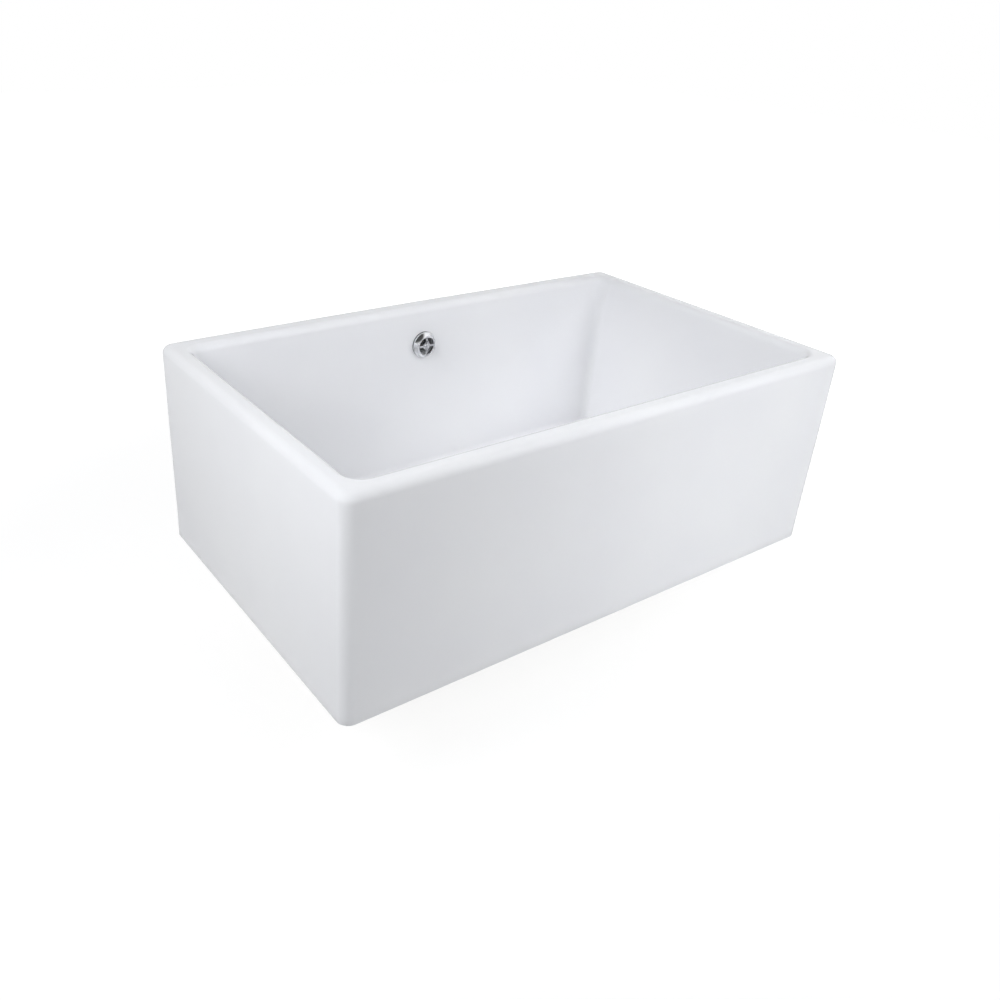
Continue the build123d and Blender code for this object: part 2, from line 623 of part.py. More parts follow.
# Perforated sheet with a turned-down rim. The line is its inner face.
with BuildPart() as strainer_basket:
    with BuildSketch(Plane.XZ):
        with BuildLine():
            FilletPolyline(
                (basket_rim / 2, basket_top - BASKET_LIP),
                (basket_rim / 2, basket_top),
                (basket_mouth / 2, basket_top),
                (basket_foot / 2, post_shoulder),
                (POST_THREAD / 2 + SCREW_GAP, post_shoulder),
                radius=(0, 0, BASKET_BEND),
            )
            offset(amount=SHEET, side=Side.RIGHT, kind=Kind.INTERSECTION)
        make_face()
    revolve(axis=Axis.Z)
    with BuildSketch(Plane.XY.offset(basket_floor)):
        for ring_radius, holes in ((outer_ring, OUTER_HOLES), (outer_ring - RING_STEP, INNER_HOLES)):
            with PolarLocations(ring_radius, holes):
                Circle(BASKET_HOLE_DIAMETER / 2)
    extrude(amount=SHEET, mode=Mode.SUBTRACT)
    # One row round the side: drills from the axis outwards, square to it.
    side_middle = (basket_floor + BASKET_BEND + basket_top) / 2
    for hole in range(SIDE_HOLES):
        turn = math.radians(360 / SIDE_HOLES * (hole + 0.5))
        outwards = (math.cos(turn), math.sin(turn), 0)
        start = (basket_foot / 4 * outwards[0], basket_foot / 4 * outwards[1], side_middle)
        with BuildSketch(Plane(origin=start, z_dir=outwards)):
            Circle(BASKET_HOLE_DIAMETER / 2)
    extrude(amount=basket_mouth / 2, mode=Mode.SUBTRACT)
finish(strainer_basket, "strainer_basket")

# The rubber stopper closes the cup's slots while the basket is down.
with BuildPart() as basket_stopper:
    with BuildSketch(Plane.XY.offset(cup_floor_top)):
        Circle(stopper_diameter / 2)
    extrude(amount=STOPPER_HEIGHT)
    chamfer(basket_stopper.edges().sort_by(Axis.Z)[-1], STOPPER_EDGE)
    with BuildSketch(Plane.XY.offset(cup_floor_top)):
        Circle(stopper_diameter / 2 - STOPPER_LIP)
    extrude(amount=stopper_under - cup_floor_top, mode=Mode.SUBTRACT)
    with BuildSketch(Plane.XY.offset(stopper_under)):
        Circle(POST_THREAD / 2 + THREAD_GAP)
    extrude(amount=STOPPER_PLATE, mode=Mode.SUBTRACT)
finish(basket_stopper, "basket_stopper")

with BuildPart() as basket_spacer:
    with BuildSketch(Plane.XY.offset(stopper_top)):
        Circle(SPACER_DIAMETER / 2)
        Circle(POST_THREAD / 2 + THREAD_GAP, mode=Mode.SUBTRACT)
    extrude(amount=SPACER_LENGTH)
finish(basket_spacer, "basket_spacer")

with BuildPart() as basket_nut:
    with BuildSketch(Plane.XY.offset(stopper_under - BASKET_NUT_HEIGHT)):
        RegularPolygon(BASKET_NUT / 2, 6)
        Circle(POST_THREAD / 2 + THREAD_GAP, mode=Mode.SUBTRACT)
    extrude(amount=BASKET_NUT_HEIGHT)
finish(basket_nut, "basket_nut")

# The post: guide pin, thread, shoulder on the basket's floor, shaft and a mushroom knob.
with BuildPart() as basket_post:
    thread_end = stopper_under - BASKET_NUT_HEIGHT
    with BuildSketch(Plane.XZ):
        with BuildLine():
            post_line = Polyline(
                (0, post_end),
                (POST_PIN / 2, post_end),
                (POST_PIN / 2, thread_end),
                (POST_THREAD / 2, thread_end),
                (POST_THREAD / 2, post_shoulder),
                (POST_DIAMETER / 2, post_shoulder),
                (POST_DIAMETER / 2, knob_under),
                (KNOB_DIAMETER / 2, knob_under + KNOB_HEIGHT - KNOB_CROWN - KNOB_EDGE),
                (KNOB_DIAMETER / 2, knob_under + KNOB_HEIGHT - KNOB_CROWN),
            )
            crown = TangentArc((0, knob_under + KNOB_HEIGHT), post_line @ 1, tangent=(1, 0))
            Line(crown @ 0, post_line @ 0)
        make_face()
    revolve(axis=Axis.Z)
finish(basket_post, "basket_post")

# ---- What was made --------------------------------------------------------------------------------

tube_area = math.pi / 4 * (cuff_diameter**2 - HOSE_BORE**2)
rib_area = math.pi / 4 * ((cuff_diameter + 2 * RIB_HEIGHT) ** 2 - cuff_diameter**2)
print("hose length", round(hose_length, 1), "bend radius", HOSE_BEND, "ribs", rib_count)
print(
    "hose volume",
    round(overflow_hose.part.volume),
    "by section and length",
    round(tube_area * hose_length + rib_area * (RIB_CREST + RIB_FLANK) * rib_count),
)
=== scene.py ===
# %% [markdown]
# # An apron front sink in glazed fireclay
#
# The object is a heavy ceramic bowl with square, softly rounded walls, a chromed overflow rose on
# the inside of its back wall, an overflow hose behind it and a basket strainer waste in its floor.
# The construction, with every real size, comes from a CAD frame. This script gives each piece its
# surface: it models what shows closely, gives everything else a finish, and sets up a studio like
# the one of a plain product photograph.
#
# Lengths are in millimetres in the pieces' own code, and turned to metres where a mesh is made.

import json
import math

import bmesh
import bpy
from mathutils import Matrix, Vector

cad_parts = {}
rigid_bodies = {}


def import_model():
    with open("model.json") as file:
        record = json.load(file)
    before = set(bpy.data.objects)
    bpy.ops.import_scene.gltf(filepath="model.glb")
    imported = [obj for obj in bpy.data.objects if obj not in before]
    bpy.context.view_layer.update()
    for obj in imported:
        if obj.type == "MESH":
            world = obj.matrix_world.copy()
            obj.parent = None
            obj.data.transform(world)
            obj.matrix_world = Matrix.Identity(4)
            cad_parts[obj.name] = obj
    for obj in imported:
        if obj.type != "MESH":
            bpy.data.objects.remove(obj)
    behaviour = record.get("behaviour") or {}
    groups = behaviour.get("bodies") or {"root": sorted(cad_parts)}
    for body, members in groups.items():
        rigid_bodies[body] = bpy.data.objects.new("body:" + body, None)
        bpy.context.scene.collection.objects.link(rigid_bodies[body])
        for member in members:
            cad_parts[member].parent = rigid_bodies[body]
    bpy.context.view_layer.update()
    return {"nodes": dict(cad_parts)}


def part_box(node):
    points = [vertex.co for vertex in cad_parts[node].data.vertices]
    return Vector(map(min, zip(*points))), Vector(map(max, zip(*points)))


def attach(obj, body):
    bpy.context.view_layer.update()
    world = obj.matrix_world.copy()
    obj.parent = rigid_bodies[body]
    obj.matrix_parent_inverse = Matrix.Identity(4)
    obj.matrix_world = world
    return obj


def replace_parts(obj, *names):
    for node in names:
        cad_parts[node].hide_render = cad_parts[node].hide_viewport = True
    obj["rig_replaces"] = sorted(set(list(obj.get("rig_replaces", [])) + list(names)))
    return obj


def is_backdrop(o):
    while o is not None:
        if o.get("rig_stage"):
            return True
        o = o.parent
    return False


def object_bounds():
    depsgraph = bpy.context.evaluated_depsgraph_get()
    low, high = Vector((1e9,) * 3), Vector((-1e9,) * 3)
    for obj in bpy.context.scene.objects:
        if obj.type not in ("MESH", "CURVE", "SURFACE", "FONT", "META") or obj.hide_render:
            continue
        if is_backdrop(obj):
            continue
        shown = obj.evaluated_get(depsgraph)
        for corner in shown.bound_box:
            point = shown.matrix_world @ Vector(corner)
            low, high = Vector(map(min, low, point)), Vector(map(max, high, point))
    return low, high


MM = 0.001
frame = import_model()
print("pieces in the frame:", len(frame["nodes"]))

# %% [markdown]
# ## Sizes from the frame
#
# A piece that is modelled here has to sit exactly where its construction is. So its main sizes are
# read from the frame's boxes, and only the small ones, such as a rounding or a sheet's thickness,
# are written out.

# %% Read places and sizes


def low(node):
    """A node's lowest corner in millimetres."""
    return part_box(node)[0] / MM


def high(node):
    """A node's highest corner in millimetres."""
    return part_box(node)[1] / MM


bowl_half = Vector((high("sink_bowl").x, high("sink_bowl").y))
bowl_height = high("sink_bowl").z
overflow_z = (low("overflow_rose").z + high("overflow_rose").z) / 2
rose_back = high("overflow_rose").y
print("bowl", bowl_half * 2, "by", bowl_height, "mm; overflow axis at", overflow_z)

# %% [markdown]
# ## Camera
#
# The photograph is taken from above the near left corner. Its camera was worked out from the
# corners of the bowl: where it stands, the way that it looks, a slight roll, and a focal length
# that is about that of a short standard lens. The picture's centre isn't the lens's centre, which
# is what the small shift says.

# %% Place the camera
CAMERA_PLACE = Vector((-0.7542, -0.8721, 0.6974))
CAMERA_AZIMUTH = math.radians(36.37)
CAMERA_ELEVATION = math.radians(27.88)
CAMERA_ROLL = math.radians(3.03)
FOCAL_PIXELS = 942.35
PICTURE_PIXELS = 1000
LENS_CENTRE = (433.96, 474.12)  # pixels from the picture's upper left corner


def place_camera():
    """A camera that sees the bowl as the photograph does."""
    data = bpy.data.cameras.new("camera")
    camera = bpy.data.objects.new("camera", data)
    bpy.context.scene.collection.objects.link(camera)
    ahead = Vector((
        math.sin(CAMERA_AZIMUTH) * math.cos(CAMERA_ELEVATION),
        math.cos(CAMERA_AZIMUTH) * math.cos(CAMERA_ELEVATION),
        -math.sin(CAMERA_ELEVATION),
    ))
    level = ahead.cross(Vector((0, 0, 1))).normalized()
    upright = level.cross(ahead)
    right = level * math.cos(CAMERA_ROLL) + upright * math.sin(CAMERA_ROLL)
    up = upright * math.cos(CAMERA_ROLL) - level * math.sin(CAMERA_ROLL)
    turn = Matrix((right, up, -ahead)).transposed().to_4x4()
    camera.matrix_world = Matrix.Translation(CAMERA_PLACE) @ turn
    data.lens = FOCAL_PIXELS / PICTURE_PIXELS * data.sensor_width
    data.shift_x = 0.5 - LENS_CENTRE[0] / PICTURE_PIXELS
    data.shift_y = LENS_CENTRE[1] / PICTURE_PIXELS - 0.5
    bpy.context.scene.camera = camera
    return data


camera_data = place_camera()
print("lens", round(camera_data.lens, 2), "mm")
print("shift", round(camera_data.shift_x, 3), round(camera_data.shift_y, 3))

# %% [markdown]
# ## Helpers for materials
#
# A finish is a small graph of nodes round one Principled shader. One function adds a node of any
# kind: its settings are passed by name, and each of its inputs gets a value, another node or one
# output of a node. Colours are written the way that a paint chart gives them, in sRGB, and turned
# to the linear values that Cycles needs. Whatever is the same all over a surface is set on the
# shader's own socket. A noise gives the rest: how big its blotches are is a size in millimetres.

# %% Helpers for materials
NOISE_RANGE = {1: 0.3, 2: 0.7}  # a Map Range node's lowest and highest input: noise stays near here


def linear(colour):
    """An sRGB hex colour as linear red, green, blue and alpha."""
    shares = [int(colour[i:i + 2], 16) / 255 for i in (1, 3, 5)]
    return [s / 12.92 if s <= 0.04045 else ((s + 0.055) / 1.055) ** 2.4 for s in shares] + [1.0]


def feed(tree, node, sockets):
    """Give each of a node's inputs its value, or link it to the node or output that feeds it."""
    for name, value in sockets.items():
        if isinstance(value, bpy.types.Node):
            value = next(output for output in value.outputs if output.enabled)
        if isinstance(value, bpy.types.NodeSocket):
            tree.links.new(value, node.inputs[name])
        else:
            node.inputs[name].default_value = value


def add(tree, kind, sockets=None, **settings):
    """Add a node of any kind, with its settings and what goes into its sockets."""
    node = tree.nodes.new(kind)
    for name, value in settings.items():
        setattr(node, name, value)
    feed(tree, node, sockets or {})
    return node


def new_material(name, **constants):
    """A material with one Principled shader; its constant values are given with _ for a space."""
    material = bpy.data.materials.new(name)
    material.use_nodes = True
    tree = material.node_tree
    tree.nodes.clear()
    sockets = {key.replace("_", " "): value for key, value in constants.items()}
    shader = add(tree, "ShaderNodeBsdfPrincipled", sockets)
    add(tree, "ShaderNodeOutputMaterial", {"Surface": shader})
    place = add(tree, "ShaderNodeTexCoord").outputs["Object"]
    return material, tree, shader, place


def blotches(size):
    """The Scale of a noise whose blotches are about so many millimetres across."""
    return 1 / (size * MM)


def two_tones(tree, noise, first, second):
    """The colour that a noise makes of two hex colours."""
    share = add(tree, "ShaderNodeMapRange", {"Value": noise, **NOISE_RANGE})
    sockets = {0: share, 6: linear(first), 7: linear(second)}
    return add(tree, "ShaderNodeMix", sockets, data_type="RGBA")


# %% [markdown]
# ## Glazed fireclay
#
# The bowl is cast from a coarse clay, dried, sprayed with white engobe and glaze, and fired once.
# The glaze is a layer of glass, so it is smooth and has a sharp, clear reflection over a body that
# scatters light evenly. It isn't flat: over a hand's width it waves, which bends each reflection,
# and close up it has a faint orange peel. Both are far too shallow to model, so they are bumps. The
# ground foot has no glaze: it is a dull, slightly warm and sandy white.

# %% Glazed and bare fireclay
GLAZE_TONE = 160.0  # across a patch of a slightly other white
GLAZE_SHEEN = 30.0  # and of a slightly other sheen
GLAZE_WAVE = 70.0  # across a wave of the glaze
GLAZE_WAVE_DEPTH = 0.22
ORANGE_PEEL = 5.0
ORANGE_PEEL_DEPTH = 0.004
CLAY_GRAIN = 0.9
CLAY_GRAIN_DEPTH = 0.12


def glazed_fireclay():
    """White glaze over fireclay."""
    material, tree, shader, place = new_material("glazed_fireclay", IOR=1.5)
    tone = add(tree, "ShaderNodeTexNoise", {"Vector": place, "Scale": blotches(GLAZE_TONE)})
    sheen = add(tree, "ShaderNodeTexNoise", {"Vector": place, "Scale": blotches(GLAZE_SHEEN)})
    peel = add(tree, "ShaderNodeTexNoise", {"Vector": place, "Scale": blotches(ORANGE_PEEL)})
    sockets = {"Vector": place, "Scale": blotches(GLAZE_WAVE), "Detail": 1.0}
    wave = add(tree, "ShaderNodeTexNoise", sockets)
    waved = add(tree, "ShaderNodeBump", {"Height": wave, "Distance": GLAZE_WAVE_DEPTH * MM})
    sockets = {"Height": peel, "Distance": ORANGE_PEEL_DEPTH * MM, "Normal": waved}
    ends = {3: 0.07, 4: 0.11}
    feed(tree, shader, {
        "Base Color": two_tones(tree, tone, "#F3F3F5", "#F6F6F7"),
        "Roughness": add(tree, "ShaderNodeMapRange", {"Value": sheen, **NOISE_RANGE, **ends}),
        "Normal": add(tree, "ShaderNodeBump", sockets),
    })
    return material


def ground_fireclay():
    """Bare, ground fireclay under the foot."""
    material, tree, shader, place = new_material("ground_fireclay", IOR=1.45)
    sockets = {"Vector": place, "Scale": blotches(CLAY_GRAIN), "Detail": 4.0}
    grain = add(tree, "ShaderNodeTexNoise", sockets)
    ends = {3: 0.75, 4: 0.95}
    feed(tree, shader, {
        "Base Color": two_tones(tree, grain, "#D9D3C8", "#E8E4DB"),
        "Roughness": add(tree, "ShaderNodeMapRange", {"Value": grain, **NOISE_RANGE, **ends}),
        "Normal": add(tree, "ShaderNodeBump", {"Height": grain, "Distance": CLAY_GRAIN_DEPTH * MM}),
    })
    return material


GLAZE = glazed_fireclay()
GROUND = ground_fireclay()

# %% [markdown]
# ## Metals
#
# The rose and its screw are cast brass, polished and chrome plated: an almost perfect mirror, with
# a trace of polishing haze. The waste is stainless steel, pressed from sheet and then brushed in a
# lathe, so its scratches run in rings round its axis. Brushing lines are finer than a picture
# shows, so they are drawn at about half a millimetre. Metals keep the default IOR, because their
# colour sets how they reflect.

# %% Chrome, stainless steel and brass
POLISH_HAZE = 4.0
POLISH_WAVE = 7.0  # across a wave that polishing leaves
POLISH_WAVE_DEPTH = 0.003
BRUSH_LINE = 0.5
BRUSH_DEPTH = 0.02
PRESS_GRAIN = 6.0
BRASS_STAIN = 3.0
TURNED_DEPTH = 0.01


def polished_chrome():
    """Chrome plate over polished brass."""
    material, tree, shader, place = new_material(
        "polished_chrome", Base_Color=linear("#F0F1F3"), Metallic=1.0
    )
    haze = add(tree, "ShaderNodeTexNoise", {"Vector": place, "Scale": blotches(POLISH_HAZE)})
    wave = add(tree, "ShaderNodeTexNoise", {"Vector": place, "Scale": blotches(POLISH_WAVE)})
    ends = {3: 0.04, 4: 0.07}
    feed(tree, shader, {
        "Roughness": add(tree, "ShaderNodeMapRange", {"Value": haze, **NOISE_RANGE, **ends}),
        "Normal": add(tree, "ShaderNodeBump", {"Height": wave, "Distance": POLISH_WAVE_DEPTH * MM}),
    })
    return material


def ring_lines(tree, place):
    """Noise that changes only with the distance from the waste's axis and slowly with height."""
    parts = add(tree, "ShaderNodeSeparateXYZ", {0: place}).outputs
    flat = add(tree, "ShaderNodeCombineXYZ", {0: parts[0], 1: parts[1]})
    radius = add(tree, "ShaderNodeVectorMath", {0: flat}, operation="LENGTH")
    line = add(tree, "ShaderNodeCombineXYZ", {0: radius, 1: parts[2]})
    sockets = {"Vector": line, "Scale": blotches(BRUSH_LINE), "Detail": 3.0}
    return add(tree, "ShaderNodeTexNoise", sockets)


def brushed_stainless():
    """Stainless sheet, brushed in rings."""
    material, tree, shader, place = new_material("brushed_stainless_steel", Metallic=1.0)
    lines = ring_lines(tree, place)
    grain = add(tree, "ShaderNodeTexNoise", {"Vector": place, "Scale": blotches(PRESS_GRAIN)})
    ends = {3: 0.20, 4: 0.32}
    feed(tree, shader, {
        "Base Color": two_tones(tree, lines, "#B4B5B5", "#C9CACA"),
        "Roughness": add(tree, "ShaderNodeMapRange", {"Value": grain, **NOISE_RANGE, **ends}),
        "Normal": add(tree, "ShaderNodeBump", {"Height": lines, "Distance": BRUSH_DEPTH * MM}),
    })
    return material


def turned_brass():
    """Brass inserts, turned, left bare and gone dull in the damp."""
    material, tree, shader, place = new_material("turned_brass", Metallic=1.0)
    stain = add(tree, "ShaderNodeTexNoise", {"Vector": place, "Scale": blotches(BRASS_STAIN)})
    dull = add(tree, "ShaderNodeMapRange", {"Value": stain, **NOISE_RANGE})
    lines = ring_lines(tree, place)
    ends = {3: 0.28, 4: 0.42}
    feed(tree, shader, {
        "Base Color": two_tones(tree, stain, "#7A6A4C", "#93815F"),
        "Roughness": add(tree, "ShaderNodeMapRange", {"Value": dull, **NOISE_RANGE, **ends}),
        "Normal": add(tree, "ShaderNodeBump", {"Height": lines, "Distance": TURNED_DEPTH * MM}),
    })
    return material


CHROME = polished_chrome()
STEEL = brushed_stainless()
BRASS = turned_brass()

# %% [markdown]
# ## Plastics and rubbers
#
# The waste body and the nuts are white polypropylene, moulded in a spark-eroded mould that leaves a
# fine even grain and a soft sheen. The elbow is the same plastic, but its colour is grey as painted
# shade: the windows of the rose look into it, and the shade in there is painted into the plastic so
# that they show dark. The hose is blown from softer polyethylene, a little greyer and waxier. The
# seals are rubber: nearly black EPDM, and grey foam under the flanges.

# %% Plastics and rubbers
MOULD_CLOUD = 18.0  # across a cloud in the colour
MOULD_GRAIN = 0.7
SHEEN_SPREAD = 0.05  # how far the roughness wanders to each side


def moulded(name, dark, light, roughness, grain=MOULD_GRAIN, depth=0.02):
    """A moulded plastic or rubber: a fine grain, and a sheen that varies a little."""
    material, tree, shader, place = new_material(name, IOR=1.49)
    noise = add(tree, "ShaderNodeTexNoise", {"Vector": place, "Scale": blotches(MOULD_CLOUD)})
    cloud = add(tree, "ShaderNodeMapRange", {"Value": noise, **NOISE_RANGE})
    ends = {3: roughness - SHEEN_SPREAD, 4: roughness + SHEEN_SPREAD}
    fine = add(tree, "ShaderNodeTexNoise", {"Vector": place, "Scale": blotches(grain)})
    feed(tree, shader, {
        "Base Color": two_tones(tree, noise, dark, light),
        "Roughness": add(tree, "ShaderNodeMapRange", {"Value": cloud, **NOISE_RANGE, **ends}),
        "Normal": add(tree, "ShaderNodeBump", {"Height": fine, "Distance": depth * MM}),
    })
    return material


POLYPROPYLENE = moulded("moulded_polypropylene", "#E2E2DE", "#EBEBE7", 0.42)
# The elbow's grey is painted shade: the dark seen through the rose's windows.
PAINTED_SHADE_POLYPROPYLENE = moulded("moulded_grey_polypropylene", "#969899", "#A2A4A5", 0.45)
POLYETHYLENE = moulded("blown_polyethylene", "#CFD0CE", "#DADBD8", 0.36)
EPDM = moulded("epdm_rubber", "#1B1B1C", "#262627", 0.62)
FOAM = moulded("foam_rubber", "#6B6D6F", "#7A7C7E", 0.85, grain=1.2, depth=0.08)

FINISHES = {
    "fireclay": GLAZE,
    "chrome": CHROME,
    "steel": STEEL,
    "brass": BRASS,
    "black_rubber": EPDM,
    "grey_rubber": FOAM,
    "white_plastic": POLYPROPYLENE,
    "hose_plastic": POLYETHYLENE,
}

# %% [markdown]
# ## Helpers for shapes
#
# Most of the small pieces are turned, pressed or moulded round an axis, so they are drawn as half a
# section and turned. A real section has no sharp corner, and it is the small rounding that catches
# the light. So a section is a list of corners, each with its own radius, and one function turns it
# into a smooth outline. Sheet metal gets its second face by an offset of the first.

# %% Helpers for shapes
ARC_STEP = math.radians(12)


def rounded(corners, closed=True):
    """The outline through corners (x, y) or (x, y, radius), with an arc where there is a radius."""
    outline = []
    count = len(corners)
    for i, corner in enumerate(corners):
        here = Vector(corner[:2])
        radius = corner[2] if len(corner) > 2 else 0
        if not radius or (not closed and i in (0, count - 1)):
            outline.append(here)
            continue
        to_last = (Vector(corners[i - 1][:2]) - here).normalized()
        to_next = (Vector(corners[(i + 1) % count][:2]) - here).normalized()
        half = to_last.angle(to_next) / 2
        centre = here + (to_last + to_next).normalized() * radius / math.sin(half)
        first = here + to_last * radius / math.tan(half) - centre
        turn = math.pi - 2 * half
        side = -1 if to_last.cross(to_next) > 0 else 1
        steps = max(2, math.ceil(turn / ARC_STEP))
        for k in range(steps + 1):
            outline.append(centre + Matrix.Rotation(side * turn * k / steps, 2) @ first)
    return outline


def arc(start, end, radius, steps=10):
    """Points between start and end, on an arc that bulges to the left of the way."""
    start, end = Vector(start), Vector(end)
    chord = end - start
    left = Vector((-chord.y, chord.x)).normalized()
    centre = (start + end) / 2 - left * math.sqrt(radius**2 - (chord.length / 2) ** 2)
    turn = -2 * math.asin(chord.length / 2 / radius)
    spins = [Matrix.Rotation(turn * k / steps, 2) for k in range(1, steps)]
    return [centre + spin @ (start - centre) for spin in spins]


def sheet(line, thickness):
    """A closed outline with the line as one face, and the other to its left, a thickness away."""
    other = []
    for i, point in enumerate(line):
        ahead = (line[min(i + 1, len(line) - 1)] - point).normalized()
        behind = (point - line[max(i - 1, 0)]).normalized()
        along = (ahead + behind).normalized()
        reach = thickness / max(along.dot(ahead if ahead.length else behind), 0.5)
        other.append(point + Vector((-along.y, along.x)) * reach)
    return list(line) + other[::-1]


def new_piece(name, work, material, smooth=40):
    """Turn a bmesh in millimetres into an object in metres, with faces that point outwards."""
    bmesh.ops.remove_doubles(work, verts=work.verts, dist=0.001)
    bmesh.ops.recalc_face_normals(work, faces=work.faces)
    bmesh.ops.scale(work, vec=(MM, MM, MM), verts=work.verts)
    mesh = bpy.data.meshes.new(name)
    work.to_mesh(mesh)
    work.free()
    mesh.materials.append(material)
    piece = bpy.data.objects.new(name, mesh)
    bpy.context.scene.collection.objects.link(piece)
    shade(piece, smooth)
    return piece


def shade(piece, smooth=40):
    """Shade a mesh smooth, with creases only where faces meet at more than so many degrees."""
    piece.data.shade_smooth()
    piece.data.set_sharp_from_angle(angle=math.radians(smooth))


def turned(name, outline, material, segments=96, place=Matrix()):
    """A closed outline of (radius, height) points, turned about its axis and put in place."""
    work = bmesh.new()
    rings = []
    for k in range(segments):
        x, y = math.cos(math.tau * k / segments), math.sin(math.tau * k / segments)
        rings.append([work.verts.new((radius * x, radius * y, z)) for radius, z in outline])
    for k, ring in enumerate(rings):
        other = rings[(k + 1) % segments]
        for i in range(len(outline)):
            j = (i + 1) % len(outline)
            if outline[i][0] > 0 or outline[j][0] > 0:
                work.faces.new((ring[i], other[i], other[j], ring[j]))
    bmesh.ops.dissolve_degenerate(work, edges=work.edges, dist=0.0001)
    bmesh.ops.transform(work, matrix=place, verts=work.verts)
    return new_piece(name, work, material)


def slab(name, outline, bottom, top):
    """An upright block over an outline, used as a cutter and deleted once it has cut."""
    work = bmesh.new()
    loops = [[work.verts.new((x, y, z)) for x, y in outline] for z in (bottom, top)]
    work.faces.new(loops[0])
    work.faces.new(loops[1])
    for i in range(len(outline)):
        j = (i + 1) % len(outline)
        work.faces.new((loops[0][i], loops[0][j], loops[1][j], loops[1][i]))
    return new_piece(name, work, STEEL)


# Turned pieces stand on this place: the overflow's axis at the rose's back, facing the basin.
ON_WALL = Matrix.Translation((0, rose_back, overflow_z)) @ Matrix.Rotation(math.pi / 2, 4, "X")


def hang(piece):
    """Move a piece that was made round the height axis onto the overflow's axis."""
    in_metres = Matrix.Diagonal((MM, MM, MM, 1)) @ ON_WALL @ Matrix.Diagonal((1 / MM,) * 3 + (1,))
    piece.data.transform(in_metres)


# %% [markdown]
# ## Helpers for geometry trees
#
# What repeats is made by Geometry Nodes: one piece of a pattern, and a rule that says how often it
# comes and where. A tree here has named inputs for its sizes. Its modifier's inputs are set by each
# socket's identifier, because that is what a modifier stores, and the result is turned into a plain
# mesh before it joins the model.

# %% Helpers for geometry trees


def new_tree(name, **inputs):
    """A geometry tree with a geometry input and output, and more inputs by name and kind."""
    tree = bpy.data.node_groups.new(name, "GeometryNodeTree")
    tree.interface.new_socket("Geometry", in_out="INPUT", socket_type="NodeSocketGeometry")
    for label, kind in inputs.items():
        tree.interface.new_socket(label, in_out="INPUT", socket_type="NodeSocket" + kind)
    tree.interface.new_socket("Geometry", in_out="OUTPUT", socket_type="NodeSocketGeometry")
    return tree, tree.nodes.new("NodeGroupInput").outputs


def end_tree(tree, geometry, material):
    """Realise a tree's instances, give them their material and send them to its output."""
    real = add(tree, "GeometryNodeRealizeInstances", {"Geometry": geometry})
    finished = add(tree, "GeometryNodeSetMaterial", {"Geometry": real, "Material": material})
    add(tree, "NodeGroupOutput", {"Geometry": finished})


def grow(piece, tree, smooth=40, **values):
    """Run a tree on an object and keep what it makes as the object's plain mesh."""
    modifier = piece.modifiers.new(tree.name, "NODES")
    modifier.node_group = tree
    for item in tree.interface.items_tree:
        if item.in_out == "INPUT" and item.name in values:
            modifier[item.identifier] = values[item.name]
    evaluated = piece.evaluated_get(bpy.context.evaluated_depsgraph_get())
    mesh = bpy.data.meshes.new_from_object(evaluated)
    piece.modifiers.remove(modifier)
    if piece.type == "MESH":
        piece.data = mesh
    else:
        name = piece.name
        bpy.data.objects.remove(piece)
        piece = bpy.data.objects.new(name, mesh)
        bpy.context.scene.collection.objects.link(piece)
    shade(piece, smooth)
    return piece


def settle(piece, kind, smooth=40, **settings):
    """Run one ordinary modifier on a mesh and keep what it makes."""
    modifier = piece.modifiers.new(kind, kind)
    for name, value in settings.items():
        setattr(modifier, name, value)
    evaluated = piece.evaluated_get(bpy.context.evaluated_depsgraph_get())
    piece.data = bpy.data.meshes.new_from_object(evaluated)
    piece.modifiers.remove(modifier)
    shade(piece, smooth)


def pierced_tree():
    """A tree that cuts a ring of copies of a cutter out of its mesh."""
    inputs = {"Cutter": "Object", "Count": "Int", "Start": "Float", "Finish": "Material"}
    tree, sizes = new_tree("pierced", **inputs)
    index = add(tree, "GeometryNodeInputIndex")
    share = add(tree, "ShaderNodeMath", {0: index, 1: sizes["Count"]}, operation="DIVIDE")
    sockets = {0: share, 1: math.tau, 2: sizes["Start"]}
    angle = add(tree, "ShaderNodeMath", sockets, operation="MULTIPLY_ADD")
    turn = add(tree, "ShaderNodeCombineXYZ", {2: angle})
    points = add(tree, "GeometryNodePoints", {"Count": sizes["Count"]})
    cutter = add(tree, "GeometryNodeObjectInfo", {"Object": sizes["Cutter"]}).outputs["Geometry"]
    sockets = {"Points": points, "Instance": cutter, "Rotation": turn}
    ring = add(tree, "GeometryNodeInstanceOnPoints", sockets)
    solid = add(tree, "GeometryNodeRealizeInstances", {"Geometry": ring})
    sockets = {"Mesh 1": sizes["Geometry"], "Mesh 2": solid}
    cut = add(tree, "GeometryNodeMeshBoolean", sockets, operation="DIFFERENCE", solver="EXACT")
    end_tree(tree, cut, sizes["Finish"])
    return tree


PIERCED = pierced_tree()


def pierce(piece, cutter, count, start=0.0):
    """Cut a ring of evenly spaced holes in a turned piece, and delete the cutter."""
    finish = piece.data.materials[0]
    piece = grow(piece, PIERCED, Cutter=cutter, Count=count, Start=start, Finish=finish)
    bpy.data.objects.remove(cutter)
    return piece


def install(piece, body, slot, *nodes):
    """Make a finished piece ride on its body, in the place of the nodes that it stands for."""
    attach(piece, body)
    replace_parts(piece, *nodes)
    print(piece.name, "triangles", sum(len(face.vertices) - 2 for face in piece.data.polygons))


